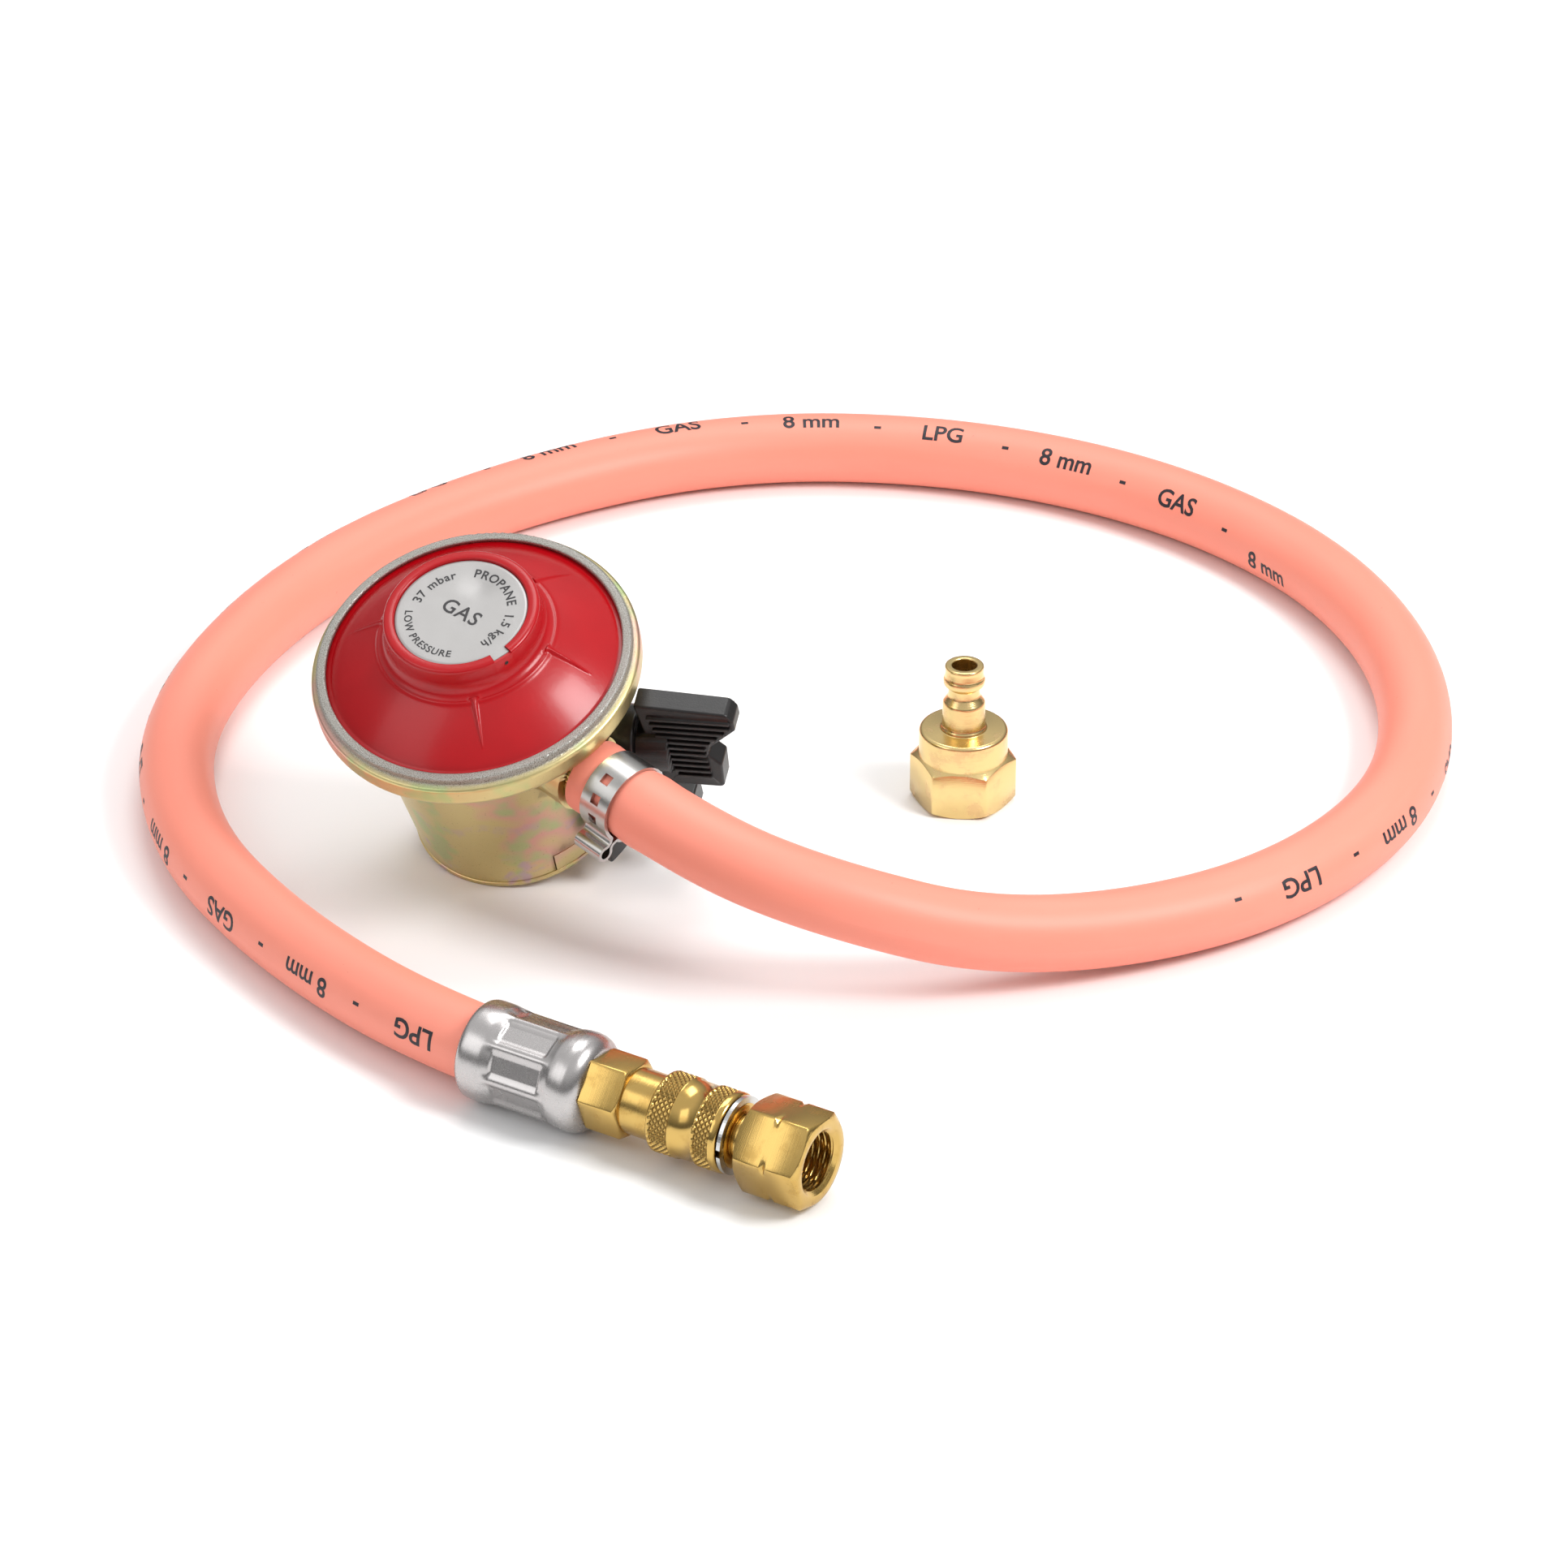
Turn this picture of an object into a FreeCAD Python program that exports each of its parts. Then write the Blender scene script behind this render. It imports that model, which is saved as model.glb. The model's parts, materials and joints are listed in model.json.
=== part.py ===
import FreeCAD, Part
import math
import os
from FreeCAD import Placement, Rotation, Vector

# Clip-on low-pressure gas regulator with its hose, crimped quick coupler, plug nut and
# spare plug adapter. Millimetres, +Z up, floor at z = 0. The origin is the bottom
# centre of the regulator and the adapter. The regulator leans on the edge of its cup.

# --- where things stand -----------------------------------------------------------
REG_X = -31.0
REG_Y = 9.6
TILT_DEG = 22.5
LEAN_AZ_DEG = -112.9
ADAPTER_X = 59.6
ADAPTER_Y = 26.5
ADAPTER_TURN_DEG = -6.0
COUPLER_X = -34.7
COUPLER_Y = -84.3
COUPLER_AZ_DEG = -31.5

# --- fits -------------------------------------------------------------------------
RUN_FIT = 0.05
SLIDE_FIT = 0.10
FREE_GAP = 0.30

# --- hose -------------------------------------------------------------------------
HOSE_R = 7.6
HOSE_BORE_R = 4.0
RUN_SHARE = 0.45

# --- roundings --------------------------------------------------------------------
ROUND_SHARE = 0.48
CAST_ROUND = 1.4
RIM_ROUND = 0.45
MOULD_ROUND = 0.5
HEX_ROUND = 0.35
JOINT_LINE = 0.25

# --- regulator casting ------------------------------------------------------------
CUP_FOOT_R = 20.8
CUP_SEAM_R = 20.6
CUP_TOP_R = 24.2
CUP_TOP_Z = 38.0
SOCKET_R = 13.6
SOCKET_TOP_Z = 15.0
STEM_RECESS_R = 9.0
STEM_RECESS_Z = 18.5
CHAMBER_R = 20.5
CHAMBER_FLOOR_Z = 30.2
DISH_R = 27.5
DISH_Z = 43.4
LEDGE_Z = 44.6
FLANGE_R = 33.0
FLANGE_Z = 42.0
RIM_R = 31.6
RIM_TOP_Z = 48.4
LIP_R = 29.7
LIP_THICK = 1.0
POCKET_R = 31.0

# --- bottom ring ------------------------------------------------------------------
RING_THICK = 1.2
RING_CHAMFER = 0.3
RING_HOLE_R = 13.9
TAB_HEIGHT = 5.1
TAB_THICK = 0.9
TAB_START_DEG = -66.0
TAB_SPAN_DEG = 26.0

# --- bonnet and what it holds -----------------------------------------------------
BONNET_EDGE_R = 30.9
BONNET_EDGE_THICK = 2.0
CONE_FOOT_R = 29.2
CONE_TOP_R = 17.2
CONE_TOP_Z = 55.4
BOSS_R = 15.6
BOSS_TOP_Z = 61.9
BONNET_WALL = 1.7
LABEL_R = 13.2
LABEL_Z = 60.8
LABEL_THICK = 0.5
LABEL_TAB_AZ_DEG = -57.0
LABEL_TAB_W = 3.4
LABEL_TAB_OUT = 1.5
RIB_COUNT = 5
RIB_FIRST_DEG = -85.0
RIB_STEP_DEG = 62.0
RIB_W = 1.3
RIB_H = 0.7
VENT_R = 0.6
VENT_AZ_DEG = -50.0
SCREW_R = 10.6
SCREW_Z = 56.0
SCREW_THICK = 3.4
SCREW_SOCKET_AF = 6.0

# --- diaphragm set ----------------------------------------------------------------
DIAPHRAGM_THICK = 0.8
PLATE_R = 18.0
PLATE_THICK = 1.0
PLATE_LIP = 1.4
STEM_R = 1.2
STEM_FOOT_Z = 32.6
STEM_COLLAR_R = 2.2
STEM_FLANGE_R = 6.0
STEM_TOP_Z = 49.6
NUT_AF = 5.0
NUT_THICK = 2.0
MAIN_SPRING_R = 7.0
MAIN_SPRING_WIRE = 1.3
MAIN_SPRING_TURNS = 5

# --- valve and inner lever --------------------------------------------------------
PIVOT_X = -7.0
SEAT_X = -12.0
PIVOT_Z = 36.0
LEVER_PIN_R = 0.75
LEVER_THICK = 1.4
LEVER_W = 3.0
FORK_W = 7.0
FORK_REACH = 2.4
POST_W = 2.0
POST_R = 1.9
SEAT_R = 3.5
SEAT_NOSE_R = 2.5
SEAT_TOP_Z = 32.6
SEAT_FOOT_Z = 25.5
GAS_WAY_R = 1.2
GAS_WAY_UP = 1.7
ORIFICE_R = 1.0
PAD_R = 2.3
PAD_THICK = 1.2
PAD_GAP = 1.25

# --- inlet ------------------------------------------------------------------------
STEM_SHANK_R = 4.5
STEM_SHANK_TOP_Z = 20.0
STEM_BODY_R = 6.5
STEM_BODY_THICK = 1.5
STEM_NOSE_R = 4.0
STEM_NOSE_Z = 15.2
STEM_BORE_R = 1.9
STEM_POCKET_R = 3.4
STEM_POCKET_Z = 17.2
SEAL_R = 6.3
SEAL_THICK = 1.3
PLUNGER_R = 1.5
PLUNGER_HEAD_R = 3.2
PLUNGER_HEAD_THICK = 0.7
PLUNGER_TIP_Z = 15.4
PLUNGER_TRAVEL = 1.7
PLUNGER_SPRING_R = 2.6
PLUNGER_SPRING_WIRE = 0.4
PLUNGER_SPRING_TURNS = 3

# --- switch -----------------------------------------------------------------------
SWITCH_AZ_DEG = -13.5
SWITCH_Z = 24.6
SPINDLE_R = 4.4
SPINDLE_END = -4.9
SPINDLE_NECK_R = 3.6
SPINDLE_SHOULDER = 21.8
SPINDLE_DRIVE = 30.6
SPINDLE_DRIVE_END = 36.0
DRIVE_AF = 5.0
CAM_HALF = 3.4
CAM_R = 2.6
CAM_STEPS = 12
ORING_AT = 17.0
ORING_W = 2.0
ORING_DEPTH = 1.2
BOSS_SWITCH_R = 7.2
BOSS_SWITCH_END = 24.4
HOUSING_END = 30.4
HOUSING_SPIGOT_R = 5.2
HUB_R = 6.0
HUB_START = 30.8
HUB_END = 37.0
WING_THICK = 5.0
WING_TOP = 13.9
WING_LOW = -10.2
WING_ROOT = 31.4
WING_TIP = 51.4
WING_CUT = 3.4
NOTCH_AT = 44.6
GRIP_RIBS = 11
RIB_HALF = 0.38
GRIP_RIB_H = 0.6

# --- locking jaw ------------------------------------------------------------------
JAW_Z = 3.5
JAW_THICK = 3.0
JAW_HOLE_R = 14.0
JAW_R = 15.9
JAW_TRAVEL = 2.3
TONGUE_W = 14.0
BUTTON_IN_R = 24.0
BUTTON_WALL = 3.4
BUTTON_LOW_Z = 1.8
BUTTON_TOP_Z = 9.4
BUTTON_HALF_DEG = 31.0
GRIP_REACH = 38.5
GRIP_W = 10.0

# --- hose nozzle and clamp --------------------------------------------------------
NOZZLE_AZ_DEG = -46.0
NOZZLE_Z = 33.2
NOZZLE_BORE_R = 2.6
NOZZLE_BOSS_R = 8.2
NOZZLE_BOSS_END = 29.0
NOZZLE_SHANK_R = 5.0
NOZZLE_SHANK_IN = 22.0
NOZZLE_COLLAR_R = 6.6
HOSE_START = 30.5
BARB_R = 4.5
BARB_COUNT = 3
BARB_PITCH = 5.0
CLAMP_AT = 35.2
CLAMP_W = 7.0
CLAMP_THICK = 0.7
EAR_OUT = 4.6
EAR_W = 6.0

# --- ferrule and coupler, along their axis from the mouth of the ferrule ------------
FERRULE_R = 9.9
FERRULE_END = 27.0
FLUTES = 8
FLUTE_DEPTH = 1.1
FLUTE_START = 6.0
FLUTE_LEN = 14.0
TAIL_START = 3.0
TAIL_R = 4.3
HOSE_END = 24.0
TAIL_NECK_R = 5.6
COUPLER_HEX_AF = 14.0
COUPLER_HEX_END = 35.2
COUPLER_NECK_R = 6.5
COUPLER_BARREL_R = 6.4
GUIDE_START = 42.0
GUIDE_R = 7.2
BARREL_START = 44.2
COUPLER_END = 58.6
FLOW_BORE_R = 2.5
PLUG_BORE_R = 4.5
PLUG_BORE_START = 46.5
POPPET_BORE_R = 3.8
POPPET_BORE_START = 38.0
SLEEVE_R = 8.0
SLEEVE_START = 41.8
SLEEVE_END = 57.1
SLEEVE_TRAVEL = 3.0
SLEEVE_SPRING_R = 6.83
SLEEVE_SPRING_WIRE = 0.5
SLEEVE_SPRING_TURNS = 3
SLEEVE_STEP_AT = 52.6
SLEEVE_MOUTH_SLOPE = 0.26
SLEEVE_BAND_DEPTH = 0.35
BAND_START = 46.9
BAND_END = 51.9
SLEEVE_EDGE = 0.25
BALL_R = 1.35
BALL_AT = 53.6
BALL_COUNT = 4
TAIL_BARBS = 4
SNAP_AT = 57.5
SNAP_W = 0.8
SNAP_R = 7.7
SNAP_DEPTH = 0.5
SNAP_GAP = 1.6
POPPET_STEM_R = 1.2
POPPET_HEAD_R = 3.4
POPPET_FACE = 46.2
POPPET_SPRING_R = 2.4
POPPET_SPRING_WIRE = 0.7
POPPET_SPRING_TURNS = 2
POPPET_LEN = 6.0
PLUG_SEAL_AT = 48.6
PLUG_SEAL_W = 2.0
PLUG_SEAL_R = 5.6

# --- plug nut and spare adapter ---------------------------------------------------
PLUG_R = 4.4
PLUG_NOSE_AT = 46.9
PLUG_GROOVE_R = 3.7
PLUG_GROOVE_W = 2.8
PLUG_FLANGE_R = 6.6
PLUG_HEX_START = 61.5
PLUG_HEX_END = 75.7
PLUG_HEX_AF = 17.0
PLUG_TURN_DEG = -9.4
THREAD_R = 5.85
THREAD_DEPTH = 10.5
ADAPTER_HEX_AF = 19.0
ADAPTER_HEX_H = 10.4
ADAPTER_COLLAR_R = 9.1
ADAPTER_COLLAR_H = 6.0
ADAPTER_NIPPLE_H = 14.6
ADAPTER_NECK_R = 4.3
ADAPTER_NOSE_R = 4.0
ADAPTER_GROOVE_R = 3.3

REG_RISE = (CUP_FOOT_R - RING_CHAMFER) * math.sin(math.radians(TILT_DEG))


def regulator_placement():
    """Stand the regulator on the edge of its cup, leaning by the tilt."""
    lean = math.radians(LEAN_AZ_DEG)
    axis = Vector(-math.sin(lean), math.cos(lean), 0)
    return Placement(Vector(REG_X, REG_Y, REG_RISE), Rotation(axis, TILT_DEG))


def coupler_placement():
    """Lay the coupler's axis along the floor, resting on the ferrule."""
    azimuth = math.radians(COUPLER_AZ_DEG)
    along = Vector(math.cos(azimuth), math.sin(azimuth), 0)
    side = Vector(math.sin(azimuth), -math.cos(azimuth), 0)
    turn = Rotation(side, Vector(0, 0, 1), along, "ZXY")
    return Placement(Vector(COUPLER_X, COUPLER_Y, FERRULE_R), turn)


REG = regulator_placement()
COUPLER = coupler_placement()

# The hose's route: straight out of the nozzle, down to the floor, round the loop and
# into the ferrule. Points in millimetres in this frame, chosen by hand.
ROUTE = [
    (-14.4, -23.2, 34.1),
    (4.0, -41.2, 30.2),
    (29.4, -50.4, 22.9),
    (68.0, -47.1, 10.0),
    (116.1, -28.7, 7.6),
    (148.9, 9.4, 7.6),
    (156.0, 59.4, 7.6),
    (141.0, 107.4, 7.6),
    (107.0, 143.9, 7.6),
    (61.5, 164.4, 7.6),
    (11.0, 166.6, 7.6),
    (-37.5, 144.4, 7.6),
    (-79.0, 105.9, 7.6),
    (-103.0, 48.9, 7.6),
    (-99.0, -0.6, 7.6),
    (-76.0, -41.1, 7.6),
    (-42.4, -79.6, 9.6),
    (-14.2, -96.8, 9.9),
]


# --- helpers ----------------------------------------------------------------------
def rod(radius, low, high, x=0.0, y=0.0):
    """A cylinder along Z between two heights."""
    return Part.makeCylinder(radius, high - low, Vector(x, y, low))


def tube(outer, inner, low, high):
    """A plain tube along Z."""
    return rod(outer, low, high).cut(rod(inner, low, high))


def outline_face(profile, y=0.0):
    """A flat face in XZ from (x, z) points; a third number rounds that corner by an arc."""
    points = [Vector(point[0], y, point[1]) for point in profile]
    radii = [point[2] if len(point) > 2 else 0.0 for point in profile]
    count = len(points)
    corners = []
    for index, corner in enumerate(points):
        back = points[index - 1] - corner
        ahead = points[(index + 1) % count] - corner
        if radii[index] == 0:
            corners.append((corner, None, corner))
            continue
        half = back.getAngle(ahead) / 2
        trim = min(radii[index] / math.tan(half), ROUND_SHARE * min(back.Length, ahead.Length))
        back = back.normalize()
        ahead = ahead.normalize()
        middle = (back + ahead).normalize()
        radius = trim * math.tan(half)
        crown = corner + middle * (math.hypot(radius, trim) - radius)
        corners.append((corner + back * trim, crown, corner + ahead * trim))
    edges = []
    for index, (start, crown, end) in enumerate(corners):
        if crown is not None:
            edges.append(Part.Arc(start, crown, end).toShape())
        edges.append(Part.LineSegment(end, corners[(index + 1) % count][0]).toShape())
    return Part.Face(Part.Wire(edges))


def spun(profile):
    """Revolve a closed outline of (radius, height) or (radius, height, rounding) about Z."""
    return outline_face(profile).revolve(Vector(0, 0, 0), Vector(0, 0, 1), 360)


def hexagon(across_flats, low, high, turn_deg=0.0):
    """A hexagonal bar along Z."""
    radius = across_flats / math.sqrt(3)
    corners = []
    for index in range(6):
        angle = math.radians(60 * index + turn_deg)
        corners.append(Vector(radius * math.cos(angle), radius * math.sin(angle), low))
    face = Part.Face(Part.makePolygon(corners + [corners[0]]))
    return face.extrude(Vector(0, 0, high - low))


def upright_edges(solid):
    """The straight edges that run along Z."""
    return [edge for edge in solid.Edges if abs(edge.tangentAt(edge.FirstParameter).z) > 0.999]


def chamfered_hexagon(across_flats, low, high, turn_deg=0.0, break_low=True, break_high=True):
    """A nut's hexagon with its corners turned off at 30 degrees."""
    corner = across_flats / math.sqrt(3)
    flat = across_flats / 2
    drop = (corner - flat) * math.tan(math.radians(30)) + 0.15
    low_r = flat - 0.2 if break_low else corner + 1
    high_r = flat - 0.2 if break_high else corner + 1
    low_h = drop if break_low else 0.0
    high_h = drop if break_high else 0.0
    profile = [(0, low), (low_r, low), (corner + 0.1, low + low_h)]
    profile += [(corner + 0.1, high - high_h), (high_r, high), (0, high)]
    bar = hexagon(across_flats, low, high, turn_deg)
    bar = bar.makeFillet(HEX_ROUND, upright_edges(bar))
    return bar.common(spun(profile))


def radial(shape, azimuth_deg, height):
    """Turn a shape built along Z so that it points outwards from the axis."""
    turned = shape.copy()
    turned.rotate(Vector(0, 0, 0), Vector(0, 1, 0), 90)
    turned.rotate(Vector(0, 0, 0), Vector(0, 0, 1), azimuth_deg)
    turned.translate(Vector(0, 0, height))
    return turned


def coil_spring(radius, wire, low, high, turns):
    """A round-wire helical spring whose outside height is low to high."""
    span = high - low - wire
    helix = Part.makeHelix(span / turns, span, radius)
    helix.translate(Vector(0, 0, low + wire / 2))
    rise = span / turns
    run = 2 * math.pi * radius
    ring = Part.Circle(Vector(radius, 0, low + wire / 2), Vector(0, run, rise), wire / 2)
    profile = Part.Wire(ring.toShape())
    spine = Part.Wire(helix.Edges)
    return spine.makePipeShell([profile], True, True)


def sector(outer, inner, low, high, start_deg, span_deg):
    """A piece of a ring, between two angles."""
    ring = Part.makeCylinder(outer, high - low, Vector(0, 0, low), Vector(0, 0, 1), span_deg)
    if inner > 0:
        ring = ring.cut(rod(inner, low, high))
    ring.rotate(Vector(0, 0, 0), Vector(0, 0, 1), start_deg)
    return ring


def slab(x0, x1, half_width, low, high):
    """A box along X, centred on Y."""
    return Part.makeBox(x1 - x0, 2 * half_width, high - low, Vector(x0, -half_width, low))


def in_switch_line(shape):
    """Turn a shape built on the X axis to the switch's direction."""
    turned = shape.copy()
    turned.rotate(Vector(0, 0, 0), Vector(0, 0, 1), SWITCH_AZ_DEG)
    return turned


# --- regulator --------------------------------------------------------------------
def jaw_outline(grow, travel, low, high):
    """The jaw plate's outer shape, swept inwards by its travel."""
    width = JAW_R + grow
    body = rod(width, low, high).fuse(rod(width, low, high, x=-travel))
    if travel > 0:
        body = body.fuse(slab(-travel, 0, width, low, high))
    return body.fuse(slab(0, BUTTON_IN_R + 2.0, TONGUE_W / 2 + grow, low, high))


def body_casting():
    """The zinc casting: cup, socket, chamber, flange and rolled rim."""
    outline = [
        (0, RING_THICK), (CUP_SEAM_R - JOINT_LINE, RING_THICK), (CUP_SEAM_R, RING_THICK + JOINT_LINE),
        (CUP_TOP_R, CUP_TOP_Z, 3 * CAST_ROUND), (CUP_TOP_R + 3.2, FLANGE_Z - 0.6, 2 * CAST_ROUND),
        (FLANGE_R, FLANGE_Z, CAST_ROUND), (FLANGE_R, FLANGE_Z + 4.4, CAST_ROUND),
        (RIM_R, FLANGE_Z + 4.8, RIM_ROUND), (RIM_R, RIM_TOP_Z, RIM_ROUND), (LIP_R, RIM_TOP_Z, RIM_ROUND),
        (LIP_R, RIM_TOP_Z - LIP_THICK), (POCKET_R, RIM_TOP_Z - LIP_THICK),
        (POCKET_R, LEDGE_Z), (DISH_R, LEDGE_Z), (DISH_R, DISH_Z), (CHAMBER_R, DISH_Z),
        (CHAMBER_R, CHAMBER_FLOOR_Z), (0, CHAMBER_FLOOR_Z),
    ]
    casting = spun(outline)
    casting = casting.fuse(radial(rod(BOSS_SWITCH_R, 17, BOSS_SWITCH_END), SWITCH_AZ_DEG, SWITCH_Z))
    nozzle_boss = rod(NOZZLE_BOSS_R, CHAMBER_R + 0.5, NOZZLE_BOSS_END)
    casting = casting.fuse(radial(nozzle_boss, NOZZLE_AZ_DEG, NOZZLE_Z))
    for side in (-1, 1):
        inner = LEVER_W / 2 + FREE_GAP
        post = Part.makeBox(2 * POST_R, POST_W, PIVOT_Z - CHAMBER_FLOOR_Z + POST_R)
        y = inner if side > 0 else -inner - POST_W
        post.translate(Vector(PIVOT_X - POST_R, y, CHAMBER_FLOOR_Z))
        casting = casting.fuse(post)
    cuts = [
        rod(SOCKET_R, 0, SOCKET_TOP_Z),
        rod(STEM_RECESS_R, SOCKET_TOP_Z - 1, STEM_RECESS_Z),
        rod(STEM_SHANK_R, STEM_RECESS_Z - 1, STEM_SHANK_TOP_Z),
        rod(SPINDLE_R + 0.4, STEM_SHANK_TOP_Z, SWITCH_Z),
        rod(SEAT_R, SEAT_FOOT_Z, CHAMBER_FLOOR_Z, x=SEAT_X),
        lever_pin_rod(LEVER_PIN_R),
        radial(rod(SPINDLE_R + RUN_FIT, SPINDLE_END - 0.2, BOSS_SWITCH_END), SWITCH_AZ_DEG, SWITCH_Z),
        radial(rod(HOUSING_SPIGOT_R, 22.0, BOSS_SWITCH_END), SWITCH_AZ_DEG, SWITCH_Z),
        radial(rod(GAS_WAY_R, 0, -SEAT_X), 180, SEAT_FOOT_Z + GAS_WAY_UP),
        radial(rod(NOZZLE_BORE_R, 15, NOZZLE_BOSS_END), NOZZLE_AZ_DEG, NOZZLE_Z),
        radial(rod(NOZZLE_SHANK_R, NOZZLE_SHANK_IN, NOZZLE_BOSS_END), NOZZLE_AZ_DEG, NOZZLE_Z),
        in_switch_line(jaw_outline(FREE_GAP, JAW_TRAVEL + FREE_GAP, JAW_Z - 0.2, JAW_Z + JAW_THICK + 0.2)),
        tab_shape(CUP_TOP_R, JOINT_LINE),
    ]
    for cut in cuts:
        casting = casting.cut(cut)
    return casting.removeSplitter()


def tab_shape(outer, gap=0.0):
    """The raised tab of the bottom ring, or the recess for it when a gap is added."""
    gap_deg = math.degrees(gap / CUP_SEAM_R)
    return sector(outer, CUP_SEAM_R - TAB_THICK - gap, RING_THICK, RING_THICK + TAB_HEIGHT + gap,
                  TAB_START_DEG - gap_deg, TAB_SPAN_DEG + 2 * gap_deg)


def bottom_ring():
    """The thin ring that closes the jaw's slot, with its raised tab."""
    ring = spun([
        (RING_HOLE_R, 0), (CUP_FOOT_R - RING_CHAMFER, 0), (CUP_FOOT_R, RING_CHAMFER),
        (CUP_FOOT_R, RING_THICK, HEX_ROUND), (RING_HOLE_R, RING_THICK),
    ])
    top_r = CUP_SEAM_R + (CUP_TOP_R - CUP_SEAM_R) * TAB_HEIGHT / (CUP_TOP_Z - RING_THICK)
    cone = spun([
        (0, RING_THICK), (CUP_SEAM_R, RING_THICK),
        (top_r, RING_THICK + TAB_HEIGHT), (0, RING_THICK + TAB_HEIGHT),
    ])
    return ring.fuse(tab_shape(CUP_TOP_R).common(cone)).removeSplitter()


def bonnet():
    """The red cover: edge, cone with ribs, and the boss round the label."""
    edge_low = LEDGE_Z + DIAPHRAGM_THICK
    edge_high = edge_low + BONNET_EDGE_THICK
    inner_foot = DISH_R
    inner_top = CONE_TOP_R - BONNET_WALL - 1.0
    shell = spun([
        (inner_foot, edge_low), (BONNET_EDGE_R, edge_low), (BONNET_EDGE_R, edge_high),
        (CONE_FOOT_R, edge_high), (CONE_FOOT_R - 0.6, edge_high + 0.5),
        (CONE_TOP_R + 1.0, CONE_TOP_Z - 0.9), (CONE_TOP_R, CONE_TOP_Z),
        (BOSS_R + 0.3, CONE_TOP_Z + 1.2), (BOSS_R, CONE_TOP_Z + 3.0),
        (BOSS_R - 0.2, BOSS_TOP_Z - 0.5), (BOSS_R - 0.7, BOSS_TOP_Z),
        (LABEL_R + 0.3, BOSS_TOP_Z), (LABEL_R + SLIDE_FIT, LABEL_Z),
        (SCREW_R, LABEL_Z), (SCREW_R, SCREW_Z - 1.4), (inner_top, CONE_TOP_Z - BONNET_WALL - 0.6),
    ])
    for index in range(RIB_COUNT):
        shell = shell.fuse(bonnet_rib(RIB_FIRST_DEG + index * RIB_STEP_DEG))
    shell = shell.cut(label_tab(0.1, LABEL_Z, BOSS_TOP_Z + 1))
    vent = radial(rod(VENT_R, SCREW_R, BOSS_R + 2), VENT_AZ_DEG, CONE_TOP_Z + 2.2)
    return shell.cut(vent).removeSplitter()


def bonnet_rib(azimuth_deg):
    """One low rib that runs down the cone and fades out."""
    slope_z = CONE_TOP_Z - (LEDGE_Z + DIAPHRAGM_THICK + BONNET_EDGE_THICK)
    reach = 0.62 * (CONE_FOOT_R - CONE_TOP_R)
    outline = [
        (CONE_TOP_R - 1.2, CONE_TOP_Z + 1.6), (CONE_TOP_R + 0.6, CONE_TOP_Z + RIB_H * 0.6),
        (CONE_TOP_R + reach, CONE_TOP_Z - 0.62 * slope_z - 0.1),
        (CONE_TOP_R + reach, CONE_TOP_Z - 0.62 * slope_z - 0.9), (CONE_TOP_R - 1.2, CONE_TOP_Z - 1.2),
    ]
    points = [Vector(radius, -RIB_W / 2, height) for radius, height in outline]
    rib = Part.Face(Part.makePolygon(points + [points[0]])).extrude(Vector(0, RIB_W, 0))
    rib.rotate(Vector(0, 0, 0), Vector(0, 0, 1), azimuth_deg)
    return rib


def label_tab(grow, low, high):
    """The label's locating tab, or the notch for it when grown."""
    tab = slab(LABEL_R - 1.0, LABEL_R + LABEL_TAB_OUT + grow, LABEL_TAB_W / 2 + grow, low, high)
    tab.rotate(Vector(0, 0, 0), Vector(0, 0, 1), LABEL_TAB_AZ_DEG)
    return tab


def label_disc():
    """The aluminium rating disc that seals the adjusting screw."""
    disc = rod(LABEL_R, LABEL_Z, LABEL_Z + LABEL_THICK)
    return disc.fuse(label_tab(0.0, LABEL_Z, LABEL_Z + LABEL_THICK)).removeSplitter()


def adjusting_screw():
    """The threaded cap that sets the spring's load."""
    cap = rod(SCREW_R, SCREW_Z, SCREW_Z + SCREW_THICK)
    return cap.cut(hexagon(SCREW_SOCKET_AF, SCREW_Z + 1.2, SCREW_Z + SCREW_THICK))


def diaphragm():
    """The rubber diaphragm with one rolled convolution."""
    low = LEDGE_Z
    high = LEDGE_Z + DIAPHRAGM_THICK
    roll_in = PLATE_R + 1.6
    roll_out = DISH_R - 1.0
    middle = (roll_in + roll_out) / 2
    return spun([
        (STEM_R, low), (roll_in, low), (middle, low + 1.6), (roll_out, low), (POCKET_R - 0.1, low),
        (POCKET_R - 0.1, high), (roll_out, high), (middle, high + 1.6), (roll_in, high), (STEM_R, high),
    ])


def diaphragm_plate():
    """The pressed disc between the diaphragm and the main spring."""
    low = LEDGE_Z + DIAPHRAGM_THICK
    return spun([
        (STEM_R, low), (PLATE_R - 0.6, low), (PLATE_R, low + 0.6), (PLATE_R, low + PLATE_THICK + PLATE_LIP),
        (PLATE_R - PLATE_THICK, low + PLATE_THICK + PLATE_LIP), (PLATE_R - PLATE_THICK, low + PLATE_THICK),
        (STEM_R, low + PLATE_THICK),
    ])


def diaphragm_stem():
    """The stem that joins the diaphragm to the inner lever's fork."""
    fork_half = LEVER_THICK / 2 + 0.85
    return spun([
        (0, STEM_FOOT_Z), (STEM_COLLAR_R, STEM_FOOT_Z), (STEM_COLLAR_R, PIVOT_Z - fork_half),
        (STEM_R, PIVOT_Z - fork_half), (STEM_R, PIVOT_Z + fork_half), (STEM_COLLAR_R, PIVOT_Z + fork_half),
        (STEM_COLLAR_R, PIVOT_Z + fork_half + 1.2), (STEM_COLLAR_R, LEDGE_Z - 0.8),
        (STEM_FLANGE_R, LEDGE_Z - 0.8), (STEM_FLANGE_R, LEDGE_Z), (STEM_R, LEDGE_Z),
        (STEM_R, STEM_TOP_Z), (0, STEM_TOP_Z),
    ])


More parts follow.
